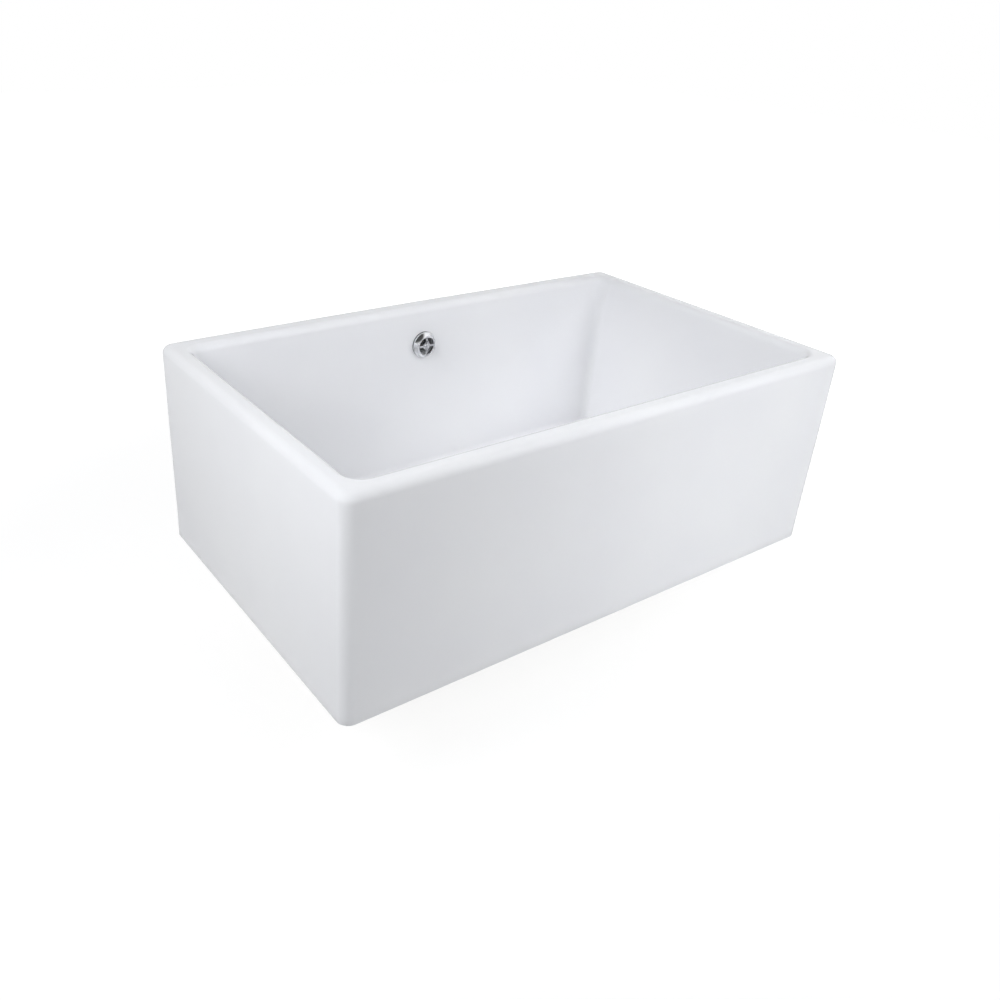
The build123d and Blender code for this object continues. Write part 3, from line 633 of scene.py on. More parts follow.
# %% [markdown]
# ## The bowl
#
# Every level line round the bowl is a rectangle with round corners: the outside is one family of
# them, and the basin another. So the whole bowl is a plan, which says how a line runs round, and a
# profile, which says how far in or out and how high each line lies. The profile starts at the foot,
# climbs the outside, rolls over the rim, goes down the drafted wall, through the cove and across
# the falling floor, drops through the waste hole and comes back under the base. A geometry tree
# sweeps one round the other.
#
# Each line is a step in the profile: how far it lies outside its rectangle, a height, which of the
# two families it belongs to, the radius of its corners and, for the floor, how far it has turned
# from a rectangle into a circle, and that circle's radius.

# %% The bowl's sizes
SIDE_RIM = 28.0
FRONT_RIM = 29.0
BACK_RIM = 33.0
WALL_DRAFT = math.radians(2.0)
OUTER_CORNER = 15.5
INNER_CORNER = 18.0
RIM_ROUND = 11.0
FOOT_ROUND = 1.5
COVE = 9.0
FLOOR_EDGE = 25.0  # height of the floor where it leaves the cove
SEAT_EDGE = 22.0  # and at the seat of the waste
SEAT_FLOOR = 19.0
SEAT_RADIUS = 59.0
HOLE_RADIUS = 45.0
RECESS_RADIUS = 67.0
RECESS_HEIGHT = 4.0
GLAZED_ROUND = 0.8  # glaze rounds the small edges of the seat

basin_half = Vector((bowl_half.x - SIDE_RIM, bowl_half.y - (FRONT_RIM + BACK_RIM) / 2))
basin_middle = Vector((0, (FRONT_RIM - BACK_RIM) / 2))

# %% The plan: how a level line runs round the bowl
CORNER_STEPS = 12
LONG_STEPS = 64
SHORT_STEPS = 40


def bowl_plan():
    """One row for each step round the bowl: its place, its corner's bend, and a unit circle."""
    counts = (SHORT_STEPS, LONG_STEPS, SHORT_STEPS, LONG_STEPS)
    steps = []
    for corner, signs in enumerate(((1, 1), (-1, 1), (-1, -1), (1, -1))):
        for k in range(CORNER_STEPS + 1):
            angle = math.radians(90) * (corner + k / CORNER_STEPS)
            place = Vector(signs)
            bend = Vector((math.cos(angle), math.sin(angle))) - place
            steps.append((place, bend, counts[(corner + 1) % 4] if k == CORNER_STEPS else 1))
    rows = []
    for (place, bend, count), (next_place, next_bend, _) in zip(steps, steps[1:] + steps[:1]):
        for k in range(count):
            rows.append((place.lerp(next_place, k / count), bend.lerp(next_bend, k / count)))
    angles = [math.tau * (k + SHORT_STEPS / 2) / len(rows) for k in range(len(rows))]
    return [row + (Vector((math.cos(angle), math.sin(angle))),) for row, angle in zip(rows, angles)]


# %% The profile: from the foot over the rim and down through the waste hole
ROUND_STEPS = 10  # round the rim and the cove
WALL_STEPS = 24
FLOOR_STEPS = 24
BASE_STEPS = 12


def bowl_profile():
    """One row for each line, with outset, height, basin, corner, roundness and radius."""
    quarter = [math.radians(90 * k / ROUND_STEPS) for k in range(ROUND_STEPS + 1)]
    drafted = [angle * (90 - math.degrees(WALL_DRAFT)) / 90 for angle in quarter]
    tangent = math.tan((math.radians(90) - WALL_DRAFT) / 2)
    top = bowl_height - RIM_ROUND
    straight = range(1, WALL_STEPS)
    outside = [
        (-FOOT_ROUND * (1 - math.sin(a)), FOOT_ROUND * (1 - math.cos(a))) for a in quarter[::3]
    ]
    outside += [(0, FOOT_ROUND + (top - FOOT_ROUND) * k / WALL_STEPS) for k in straight]
    outside += [(-RIM_ROUND * (1 - math.cos(a)), top + RIM_ROUND * math.sin(a)) for a in quarter]
    inside = [(RIM_ROUND * (tangent - math.sin(a)), top + RIM_ROUND * math.cos(a)) for a in drafted]
    wall_foot = -(bowl_height - FLOOR_EDGE) * math.tan(WALL_DRAFT)
    cove_middle = wall_foot - COVE * tangent
    cove = [
        (cove_middle + COVE * math.sin(a), FLOOR_EDGE + COVE * (1 - math.cos(a)))
        for a in drafted[::-1]
    ]
    wall = [Vector(inside[-1]).lerp(Vector(cove[0]), k / WALL_STEPS) for k in straight]
    sharpest = INNER_CORNER + wall_foot
    rows = [(x, z, 0, OUTER_CORNER + x, 0, 0) for x, z in outside]
    rows += [(x, z, 1, max(INNER_CORNER + x, sharpest), 0, 0) for x, z in inside + wall + cove]
    seat_lip = SEAT_RADIUS + GLAZED_ROUND
    for k in range(1, FLOOR_STEPS):
        share = k / FLOOR_STEPS
        fall = (FLOOR_EDGE - SEAT_EDGE) * share * share * (3 - 2 * share)
        rows.append((cove_middle, FLOOR_EDGE - fall, 1, sharpest, share, seat_lip))
    seat = rounded([
        (seat_lip, SEAT_EDGE),
        (SEAT_RADIUS, SEAT_EDGE, GLAZED_ROUND / 2),
        (SEAT_RADIUS, SEAT_FLOOR, GLAZED_ROUND),
        (HOLE_RADIUS, SEAT_FLOOR, GLAZED_ROUND),
        (HOLE_RADIUS, RECESS_HEIGHT, GLAZED_ROUND),
        (RECESS_RADIUS, RECESS_HEIGHT, GLAZED_ROUND),
        (RECESS_RADIUS, 0),
    ], closed=False)
    rows += [(0, z, 0, 0, 1, radius) for radius, z in seat]
    foot_corner = OUTER_CORNER - FOOT_ROUND
    for k in range(1, BASE_STEPS):
        rows.append((-FOOT_ROUND, 0, 0, foot_corner, 1 - k / BASE_STEPS, RECESS_RADIUS))
    return rows


# %% Store plan and profile as small meshes with attributes


def attribute_mesh(name, rows, labels):
    """A mesh of loose points that carry the rows' values: a vector or a number under each label."""
    mesh = bpy.data.meshes.new(name)
    mesh.from_pydata([(0, 0, 0)] * len(rows), [], [])
    for column, label in enumerate(labels):
        values = [row[column] for row in rows]
        if isinstance(values[0], Vector):
            attribute = mesh.attributes.new(label, "FLOAT_VECTOR", "POINT")
            attribute.data.foreach_set("vector", [part for v in values for part in (*v, 0)])
        else:
            mesh.attributes.new(label, "FLOAT", "POINT").data.foreach_set("value", values)
    piece = bpy.data.objects.new(name, mesh)
    bpy.context.scene.collection.objects.link(piece)
    return piece


PLAN_LABELS = ("place", "bend", "circle")
PROFILE_LABELS = ("outset", "height", "basin", "corner", "roundness", "radius")
PROFILE_UNITS = (MM, MM, 1.0, MM, 1.0, MM)

plan_rows = bowl_plan()
plan = attribute_mesh("plan", plan_rows, PLAN_LABELS)
profile_rows = [
    [value * unit for value, unit in zip(row, PROFILE_UNITS)] for row in bowl_profile()
]
profile = attribute_mesh("profile", profile_rows, PROFILE_LABELS)
print("plan steps", len(plan_rows), "profile steps", len(profile_rows))

# %% [markdown]
# The tree makes a flat grid with one column for each step of the plan and one row for each step of
# the profile. Each grid point looks up its own step in both by its index, and goes to its place.
# The first and the last column meet, and so do the first and the last row, so merging by distance
# closes the shape.
#
# Fireclay creeps and sags in the kiln. The tree's second half pushes the glazed faces inwards by a
# slow noise, by less than half a millimetre, and lets the back rim's ends sink a little, as on the
# photographed bowl. Both fade out near the foot and the waste, where the bowl is ground flat or
# another piece seats.

# %% Sweep the bowl
WARP_SIZE = 190.0
WARP_DEPTH = 0.7
RIM_SINK = 1.6  # how far the back corners sink below the middle of the back rim
WARP_FADE = (6.0, 40.0)  # heights between which the warp comes in, above the foot
SEAT_FADE = (72.0, 110.0)  # and distances from the waste's axis
WELD = 0.001  # points this near are merged


def look_up(tree, geometry, label, index, kind):
    """What a mesh stores under a label at an index."""
    stored = add(tree, "GeometryNodeInputNamedAttribute", {"Name": label}, data_type=kind)
    sockets = {"Geometry": geometry, "Value": stored, "Index": index}
    return add(tree, "GeometryNodeSampleIndex", sockets, data_type=kind)


def product(tree, result, *factors):
    """The product of several values."""
    for factor in factors:
        result = add(tree, "ShaderNodeMath", {0: result, 1: factor}, operation="MULTIPLY")
    return result


def swept(tree, sizes):
    """A grid whose points all go to their places on the bowl, with its seams closed."""
    plan_count, line_count = len(plan_rows), len(profile_rows)
    lines = add(tree, "GeometryNodeObjectInfo", {"Object": sizes["Profile"]}).outputs["Geometry"]
    sockets = {"Vertices X": plan_count + 1, "Vertices Y": line_count + 1}
    grid = add(tree, "GeometryNodeMeshGrid", sockets)
    index = add(tree, "GeometryNodeInputIndex")
    column = add(tree, "ShaderNodeMath", {0: index, 1: line_count + 1}, operation="DIVIDE")
    column = add(tree, "ShaderNodeMath", {0: column}, operation="FLOOR")
    column = add(tree, "ShaderNodeMath", {0: column, 1: plan_count}, operation="MODULO")
    row = add(tree, "ShaderNodeMath", {0: index, 1: line_count + 1}, operation="MODULO")
    row = add(tree, "ShaderNodeMath", {0: row, 1: line_count}, operation="MODULO")
    place, bend, circle = (
        look_up(tree, sizes["Geometry"], label, column, "FLOAT_VECTOR") for label in PLAN_LABELS
    )
    outset, height, basin, corner, roundness, radius = (
        look_up(tree, lines, label, row, "FLOAT") for label in PROFILE_LABELS
    )
    # A Mix node for vectors takes its share in socket 0, and the two vectors in sockets 4 and 5.
    halves = {0: basin, 4: (*bowl_half * MM, 0), 5: (*basin_half * MM, 0)}
    half = add(tree, "ShaderNodeMix", halves, data_type="VECTOR")
    outset = add(tree, "ShaderNodeCombineXYZ", {0: outset, 1: outset})
    half = add(tree, "ShaderNodeVectorMath", {0: half, 1: outset}, operation="ADD")
    middles = {0: basin, 4: (0, 0, 0), 5: (*basin_middle * MM, 0)}
    middle = add(tree, "ShaderNodeMix", middles, data_type="VECTOR")
    sockets = {0: place, 1: half, 2: middle}
    rectangle = add(tree, "ShaderNodeVectorMath", sockets, operation="MULTIPLY_ADD")
    bend = add(tree, "ShaderNodeVectorMath", {0: bend, "Scale": corner}, operation="SCALE")
    rectangle = add(tree, "ShaderNodeVectorMath", {0: rectangle, 1: bend}, operation="ADD")
    circle = add(tree, "ShaderNodeVectorMath", {0: circle, "Scale": radius}, operation="SCALE")
    sockets = {0: roundness, 4: rectangle, 5: circle}
    flat = add(tree, "ShaderNodeMix", sockets, data_type="VECTOR")
    lift = add(tree, "ShaderNodeCombineXYZ", {2: height})
    position = add(tree, "ShaderNodeVectorMath", {0: flat, 1: lift}, operation="ADD")
    placed = add(tree, "GeometryNodeSetPosition", {"Geometry": grid, "Position": position})
    return add(tree, "GeometryNodeMergeByDistance", {"Geometry": placed, "Distance": WELD * MM})


def warped(tree, sizes, shape):
    """The shape pushed inwards by a slow noise, with the ends of its back rim a little lower."""
    position = add(tree, "GeometryNodeInputPosition")
    parts = add(tree, "ShaderNodeSeparateXYZ", {0: position}).outputs
    flat = add(tree, "ShaderNodeCombineXYZ", {0: parts[0], 1: parts[1]})
    from_waste = add(tree, "ShaderNodeVectorMath", {0: flat}, operation="LENGTH")
    fades = (
        (parts[2], WARP_FADE),
        (from_waste, SEAT_FADE),
        (parts[1], (-bowl_half.y, bowl_half.y)),
        (parts[2], (0.0, bowl_height)),
    )
    above_foot, beside_seat, backwards, upwards = (
        add(tree, "ShaderNodeMapRange", {"Value": value, 1: start * MM, 2: end * MM})
        for value, (start, end) in fades
    )
    scale = add(tree, "ShaderNodeMath", {0: 1.0, 1: sizes["WarpSize"]}, operation="DIVIDE")
    sockets = {"Vector": position, "Scale": scale, "Detail": 1.0}
    clay = add(tree, "ShaderNodeTexNoise", sockets)
    depth = product(tree, clay, above_foot, beside_seat, sizes["WarpDepth"], -1.0)
    normal = add(tree, "GeometryNodeInputNormal")
    push = add(tree, "ShaderNodeVectorMath", {0: normal, "Scale": depth}, operation="SCALE")
    along = add(tree, "ShaderNodeMath", {0: parts[0], 1: bowl_half.x * MM}, operation="DIVIDE")
    bow = add(tree, "ShaderNodeMath", {0: along, 1: 2.0}, operation="POWER")
    sink = product(tree, bow, backwards, upwards, sizes["RimSink"], -1.0)
    sag = add(tree, "ShaderNodeCombineXYZ", {2: sink})
    offset = add(tree, "ShaderNodeVectorMath", {0: push, 1: sag}, operation="ADD")
    return add(tree, "GeometryNodeSetPosition", {"Geometry": shape, "Offset": offset})


def bowl_tree():
    """A tree that sweeps a profile round a plan and warps the result a little."""
    inputs = {"Profile": "Object", "WarpSize": "Float", "WarpDepth": "Float", "RimSink": "Float"}
    tree, sizes = new_tree("swept_bowl", **inputs)
    end_tree(tree, warped(tree, sizes, swept(tree, sizes)), GLAZE)
    return tree


def outward(piece):
    """Make a closed mesh's faces point outwards."""
    work = bmesh.new()
    work.from_mesh(piece.data)
    bmesh.ops.recalc_face_normals(work, faces=work.faces)
    work.to_mesh(piece.data)
    work.free()


bowl = grow(
    plan, bowl_tree(), Profile=profile,
    WarpSize=WARP_SIZE * MM, WarpDepth=WARP_DEPTH * MM, RimSink=RIM_SINK * MM
)
bowl.name = "glazed_bowl"
bpy.data.objects.remove(profile)
outward(bowl)
print("bowl faces", len(bowl.data.polygons))

# %% [markdown]
# The overflow hole is drilled before firing, square through the upright back of the bowl. A turned
# cutter and a boolean make it. Then the faces under the foot get the bare, ground clay.

# %% Drill the overflow hole and bare the foot
OVERFLOW_HOLE = 30.0
DRILL_REACH = (-60, 20)  # from behind the whole wall to inside the basin


def drill(piece, cutter):
    """Cut one solid out of a piece and delete the cutter."""
    settle(piece, "BOOLEAN", object=cutter, solver="EXACT")
    bpy.data.objects.remove(cutter)


behind, inside = DRILL_REACH
hole_radius = OVERFLOW_HOLE / 2
drill_outline = [(0, behind), (hole_radius, behind), (hole_radius, inside), (0, inside)]
drill(bowl, turned("cutter", drill_outline, GLAZE, segments=64, place=ON_WALL))
bowl.data.materials.append(GROUND)
for face in bowl.data.polygons:
    if face.normal.z < -0.5 and face.center.z < (RECESS_HEIGHT + 1) * MM:
        face.material_index = len(bowl.data.materials) - 1
install(bowl, "sink", "fireclay", "sink_bowl")

# %% [markdown]
# ## The overflow rose
#
# The rose is the one bright accent on the white wall. It is a small casting: a thin edge that lies
# on the wall, a domed side, and a disc sunk a little behind the front edge. Four windows in the
# disc let the water through, and the bars between them stand exactly upright and level. The screw
# in the middle holds rose and elbow together through the wall. Both are turned about the overflow's
# axis, and the windows are one cutter that a geometry tree repeats four times.

# %% Turn the rose and cut its windows
ROSE_FACE = 28.6
ROSE_EDGE = (1.2, 0.8)  # thickness and width of the edge on the wall
ROSE_POLISHED = 0.9  # what grinding and polishing take off the casting's edge
ROSE_DOME = 15.0
ROSE_SINK = 1.0
ROSE_DISC = 1.8
ROSE_WALL = 1.6
WINDOWS = (5.8, 12.5)  # inner and outer radius of the windows
SPOKE = 3.0
WINDOW_CORNER = 0.7

rose_radius = high("overflow_rose").x - ROSE_POLISHED
rose_height = rose_back - low("overflow_rose").y
disc_front = rose_height - ROSE_SINK


def rose_outline():
    """Half the rose's section: radius, and height above its back."""
    edge = (rose_radius - ROSE_EDGE[1], ROSE_EDGE[0])
    face = (ROSE_FACE / 2, rose_height)
    outline = rounded([(rose_radius, 0), (rose_radius, ROSE_EDGE[0], 0.35), edge], closed=False)
    outline += arc(edge, face, ROSE_DOME)
    outline += rounded([
        face,
        (WINDOWS[1] + 0.6, rose_height, 0.35),
        (WINDOWS[1] + 0.1, disc_front, 0.2),
        (0, disc_front),
        (0, disc_front - ROSE_DISC),
        (ROSE_FACE / 2, disc_front - ROSE_DISC),
        (edge[0] - ROSE_WALL, 0),
    ], closed=False)
    return outline


def window_outline():
    """A quarter of the ring between hub and rim, less half a bar each side, with soft corners."""
    outline = []
    for radius, steps, way in ((WINDOWS[0], 4, 1), (WINDOWS[1], 10, -1)):
        margin = math.asin(SPOKE / 2 / radius)
        ends = (margin, math.pi / 2 - margin)[::way]
        for k in range(steps + 1):
            angle = ends[0] + (ends[1] - ends[0]) * k / steps
            corner = (WINDOW_CORNER,) if k in (0, steps) else ()
            outline.append((radius * math.cos(angle), radius * math.sin(angle)) + corner)
    return rounded(outline)


rose = turned("rose_casting", rose_outline(), CHROME, segments=128)
window = slab("window", window_outline(), disc_front - 3 * ROSE_DISC, disc_front + ROSE_DISC)
rose = pierce(rose, window, 4)
hang(rose)
install(rose, "sink", "chrome", "overflow_rose")

# %% Turn the screw and cut its slot
SCREW_SHANK = 5.0
SLOT = (1.4, 1.1)  # width and depth

screw_radius = high("overflow_screw").x
screw_top = rose_back - low("overflow_screw").y
screw_end = rose_back - high("overflow_screw").y
screw_outline = rounded([
    (0, screw_top),
    (screw_radius * 0.55, screw_top - 0.1, 3.0),
    (screw_radius, screw_top - 0.9, 0.5),
    (screw_radius, disc_front),
    (SCREW_SHANK / 2, disc_front),
    (SCREW_SHANK / 2, screw_end + 0.5),
    (SCREW_SHANK / 2 - 0.5, screw_end),
    (0, screw_end),
])
screw = turned("rose_screw", screw_outline, CHROME, segments=64)
half_slot = SLOT[0] / 2
slot_outline = [(half_slot, -9), (half_slot, 9), (-half_slot, 9), (-half_slot, -9)]
drill(screw, slab("slot", slot_outline, screw_top - SLOT[1], screw_top + 2))
hang(screw)
install(screw, "sink", "chrome", "overflow_screw")

# %% [markdown]
# ## The strainer cup
#
# Flange and cup are one pressing in thin stainless sheet. Its section is a single line, bent at the
# flange, at the floor and round the small dish for the clamp bolt's head, with the sheet's
# thickness under it. Eight slots in the floor let the water out when the stopper is lifted.

# %% Press the cup
CUP_SHEET = 1.2
CUP_RADIUS = 41.5
CUP_TAPER = 1.5
CUP_BEND = 5.0
DISH_RADIUS = 13.5
DISH_BORE = 5.4
DISH_DEPTH = 6.0
CUP_SLOTS = 8
CUP_SLOT = (8.0, 5.0)  # length and width
CUP_SLOT_RING = 20.25

cup_top = high("strainer_cup").z
cup_flange = high("strainer_cup").x
dish_floor = low("strainer_cup").z + CUP_SHEET
cup_floor = dish_floor + DISH_DEPTH
cup_line = rounded([
    (cup_flange, cup_top - 0.5),
    (cup_flange - 2.5, cup_top, 2.0),
    (CUP_RADIUS - CUP_SHEET, cup_top, CUP_BEND),
    (CUP_RADIUS - CUP_SHEET - CUP_TAPER, cup_floor, CUP_BEND),
    (DISH_RADIUS, cup_floor, 1.5),
    (DISH_RADIUS - CUP_SHEET, dish_floor, 1.2),
    (DISH_BORE, dish_floor),
], closed=False)
cup = turned("pressed_cup", sheet(cup_line, CUP_SHEET), STEEL, segments=128)
half_length, half_width = CUP_SLOT[0] / 2, CUP_SLOT[1] / 2
slot_corners = [(x, y, half_width * 0.98) for x, y in (
    (CUP_SLOT_RING + half_length, half_width),
    (CUP_SLOT_RING - half_length, half_width),
    (CUP_SLOT_RING - half_length, -half_width),
    (CUP_SLOT_RING + half_length, -half_width),
)]
cup = pierce(cup, slab("slot", rounded(slot_corners), cup_floor - 3, cup_floor + 1), CUP_SLOTS)
install(cup, "sink", "steel", "strainer_cup")

# %% [markdown]
# ## The lift-out basket
#
# The basket is thinner sheet with a folded rim. Its holes are what makes it look like a strainer,
# so it has four rings of them in its floor and two round its side. Each ring is one drill, and the
# same tree repeats it. Post, knob, spacer, rubber stopper and nut lift out with it.

# %% Press and perforate the basket
BASKET_SHEET = 0.8
BASKET_MOUTH = 36.5
BASKET_FOOT = 31.5
BASKET_LIP = 2.2
BASKET_BORE = 3.4
STRAINER_HOLE = 3.2
FLOOR_RINGS = ((8.5, 8), (14.0, 14), (19.5, 19), (25.0, 24))  # radius and number of holes
SIDE_ROWS = (8.0, 14.0)  # heights above the basket's underside
SIDE_HOLES = 32
HOLE_STEPS = 16
RING_TURN = 0.1  # how far each ring is turned past the last, in radians

basket_low = low("strainer_basket").z
basket_top = high("strainer_basket").z
basket_rim = high("strainer_basket").x
basket_line = rounded([
    (basket_rim, basket_top - BASKET_LIP),
    (basket_rim, basket_top, 1.2),
    (BASKET_MOUTH, basket_top, 1.2),
    (BASKET_FOOT, basket_low + BASKET_SHEET, 4.0),
    (BASKET_BORE, basket_low + BASKET_SHEET),
], closed=False)
basket = turned("pressed_basket", sheet(basket_line, BASKET_SHEET), STEEL, segments=128)
hole_angles = [math.tau * k / HOLE_STEPS for k in range(HOLE_STEPS)]
round_hole = [
    (STRAINER_HOLE / 2 * math.cos(a), STRAINER_HOLE / 2 * math.sin(a)) for a in hole_angles
]
for ring, (radius, holes) in enumerate(FLOOR_RINGS):
    outline = [(radius + x, y) for x, y in round_hole]
    floor_drill = slab("drill", outline, basket_low - 1, basket_low + 2)
    basket = pierce(basket, floor_drill, holes, start=ring * RING_TURN)
for row, height in enumerate(SIDE_ROWS):
    side_drill = slab("drill", round_hole, BASKET_FOOT - 6, BASKET_MOUTH + 4)
    lift = Matrix.Translation((0, 0, (basket_low + height) * MM))
    side_drill.data.transform(lift @ Matrix.Rotation(math.pi / 2, 4, "Y"))
    basket = pierce(basket, side_drill, SIDE_HOLES, start=row * math.pi / SIDE_HOLES)
install(basket, "basket", "steel", "strainer_basket")

# %% Turn the post, its knob and the stopper
POST_THREAD = 2.5  # radii of the post, from its threaded end up
POST_SHANK = 3.0
POST_FLANGE = 4.6
POST_STEM = 3.5
FLANGE_THICKNESS = 1.6
KNOB_DEPTHS = (8.0, 4.2, 2.9)  # below the knob's top: its neck, and both ends of its edge
STOPPER_BORE = 3.05
STOPPER_GROOVE = (12.0, 24.6)  # inner and outer radius
GROOVE_DEPTH = 0.6
STOPPER_FLOOR = 2.5
STOPPER_SKIRT = 4.0

post_low = low("basket_post").z
post_top = high("basket_post").z
knob_radius = high("basket_post").x
stopper_low = low("basket_stopper").z
stopper_top = high("basket_stopper").z
stopper_radius = high("basket_stopper").x
floor_top = basket_low + BASKET_SHEET
shank_low = stopper_low + 0.8
post_outline = rounded([
    (0, post_low),
    (POST_THREAD, post_low, 0.8),
    (POST_THREAD, shank_low, 0.2),
    (POST_SHANK, shank_low, 0.2),
    (POST_SHANK, floor_top),
    (POST_FLANGE, floor_top, 0.3),
    (POST_FLANGE, floor_top + FLANGE_THICKNESS, 0.5),
    (POST_STEM, floor_top + FLANGE_THICKNESS + 0.6, 0.8),
    (POST_STEM, post_top - KNOB_DEPTHS[0], 2.0),
    (knob_radius, post_top - KNOB_DEPTHS[1], 0.9),
    (knob_radius, post_top - KNOB_DEPTHS[2], 0.9),
    (knob_radius * 0.55, post_top, 9.0),
    (0, post_top),
])
post = turned("post_and_knob", post_outline, STEEL, segments=96)
install(post, "basket", "steel", "basket_post")

groove_in, groove_out = STOPPER_GROOVE
stopper_outline = rounded([
    (STOPPER_BORE, stopper_top),
    (groove_in, stopper_top, 0.6),
    (groove_in + GROOVE_DEPTH, stopper_top - GROOVE_DEPTH, 0.6),
    (groove_out - GROOVE_DEPTH, stopper_top - GROOVE_DEPTH, 0.6),
    (groove_out, stopper_top, 0.6),
    (stopper_radius - 0.9, stopper_top, 1.0),
    (stopper_radius, stopper_top - 2.2, 1.0),
    (stopper_radius, stopper_low, 0.5),
    (stopper_radius - STOPPER_SKIRT, stopper_low, 0.8),
    (stopper_radius - STOPPER_SKIRT, stopper_top - STOPPER_FLOOR, 0.8),
    (STOPPER_BORE, stopper_top - STOPPER_FLOOR),
])
stopper = turned("rubber_stopper", stopper_outline, EPDM, segments=96)
install(stopper, "basket", "black_rubber", "basket_stopper")

# %% [markdown]
# ## The overflow hose
#
# The hose is blown in a chain of moulds, so its wall itself is folded into ribs. It is a fixed
# length: down from the elbow, once round the foot of the back wall and forward to the waste's side
# inlet. A curve gives the way. The tree resamples it finely, sets each point's radius by how far
# along it lies, which makes collar, cuff and ribs, and draws a circle round it. Solidify then gives
# the wall its thickness.

# %% Grow the hose along its way
HOSE_BORE = 19.0
HOSE_WALL = 1.2
RIB_HEIGHT = 2.2
RIB_PITCH = 6.2
HOSE_BEND = 60.0
CUFF_LENGTH = 25.0
COLLAR = (13.0, 3.0)  # radius and thickness
COLLAR_EDGE = 0.3
RIB_FLAT = 0.45  # where on a sine the ribs' flat crests and valleys begin
CUFF_FADE = 2.0
BEND_STEPS = 24
HOSE_SAMPLES = 700
HOSE_SIDES = 48

hose_start = high("overflow_hose")
hose_finish = low("overflow_hose")
drop_y = hose_start.y - COLLAR[0]
run_z = hose_finish.z + COLLAR[0]


def hose_way():
    """The hose's middle line as a curve object: down, a quarter turn, and forward."""
    points = [(0, drop_y, hose_start.z)]
    for k in range(BEND_STEPS + 1):
        turn = math.radians(90 * k / BEND_STEPS)
        forward, down = 1 - math.cos(turn), 1 - math.sin(turn)
        points.append((0, drop_y - HOSE_BEND * forward, run_z + HOSE_BEND * down))
    points.append((0, hose_finish.y, run_z))
    data = bpy.data.curves.new("hose_way", "CURVE")
    data.dimensions = "3D"
    spline = data.splines.new("POLY")
    spline.points.add(len(points) - 1)
    for point, place in zip(spline.points, points):
        point.co = (*(Vector(place) * MM), 1)
    way = bpy.data.objects.new("hose_way", data)
    bpy.context.scene.collection.objects.link(way)
    return way


def hose_tree():
    """A tree that makes a ribbed tube with plain cuffs and collars along a curve."""
    inputs = {"Radius": "Float", "RibHeight": "Float", "RibPitch": "Float", "Cuff": "Float"}
    tree, sizes = new_tree("ribbed_hose", **inputs)
    sockets = {"Curve": sizes["Geometry"], "Count": HOSE_SAMPLES}
    fine = add(tree, "GeometryNodeResampleCurve", sockets)
    along = add(tree, "GeometryNodeSplineParameter").outputs["Length"]
    whole = add(tree, "GeometryNodeSplineLength").outputs["Length"]
    rest = add(tree, "ShaderNodeMath", {0: whole, 1: along}, operation="SUBTRACT")
    from_end = add(tree, "ShaderNodeMath", {0: along, 1: rest}, operation="MINIMUM")
    ribs = add(tree, "ShaderNodeMath", {0: along, 1: sizes["Cuff"]}, operation="SUBTRACT")
    ribs = add(tree, "ShaderNodeMath", {0: ribs, 1: sizes["RibPitch"]}, operation="DIVIDE")
    wave = add(tree, "ShaderNodeMath", {0: product(tree, ribs, math.tau)}, operation="SINE")
    sockets = {"Value": wave, 1: -RIB_FLAT, 2: RIB_FLAT}
    crest = add(tree, "ShaderNodeMapRange", sockets, interpolation_type="SMOOTHSTEP")
    full = add(tree, "ShaderNodeMath", {0: sizes["Cuff"], 1: CUFF_FADE * MM}, operation="ADD")
    ribbed = add(tree, "ShaderNodeMapRange", {"Value": from_end, 1: sizes["Cuff"], 2: full})
    rib = product(tree, crest, ribbed, sizes["RibHeight"])
    plain = add(tree, "ShaderNodeMath", {0: sizes["Radius"], 1: rib}, operation="ADD")
    edge = {1: (COLLAR[1] - COLLAR_EDGE) * MM, 2: COLLAR[1] * MM, 3: COLLAR[0] * MM, 4: plain}
    radius = add(tree, "ShaderNodeMapRange", {"Value": from_end, **edge})
    shaped = add(tree, "GeometryNodeSetCurveRadius", {"Curve": fine, "Radius": radius})
    sockets = {"Resolution": HOSE_SIDES, "Radius": 1.0}
    circle = add(tree, "GeometryNodeCurvePrimitiveCircle", sockets)
    sockets = {"Curve": shaped, "Profile Curve": circle, "Scale": radius}
    end_tree(tree, add(tree, "GeometryNodeCurveToMesh", sockets), POLYETHYLENE)
    return tree


hose = grow(
    hose_way(), hose_tree(), smooth=70,
    Radius=(HOSE_BORE / 2 + HOSE_WALL) * MM, RibHeight=RIB_HEIGHT * MM,
    RibPitch=RIB_PITCH * MM, Cuff=CUFF_LENGTH * MM
)
hose.name = "ribbed_hose"
outward(hose)
settle(hose, "SOLIDIFY", thickness=HOSE_WALL * MM, offset=-1.0)
install(hose, "sink", "hose_plastic", "overflow_hose")

# %% [markdown]
# ## The moulded pieces
#
# Elbow, nuts and waste body have their true shape in the frame, but with knife-sharp edges. A
# moulding has a small round on each edge, because the mould is cut with one. So each is copied, the
# copy's flat faces are joined up, and its edges are bevelled. The waste's outlet also gets its
# thread. The copy's outlet is turned down to the thread's root, and a geometry tree winds a ridge
# round it along a spiral.

# %% Round the edges of the moulded pieces
MOULDED_ROUND = 0.5
SHARP = math.radians(40)
FLAT = math.radians(1)


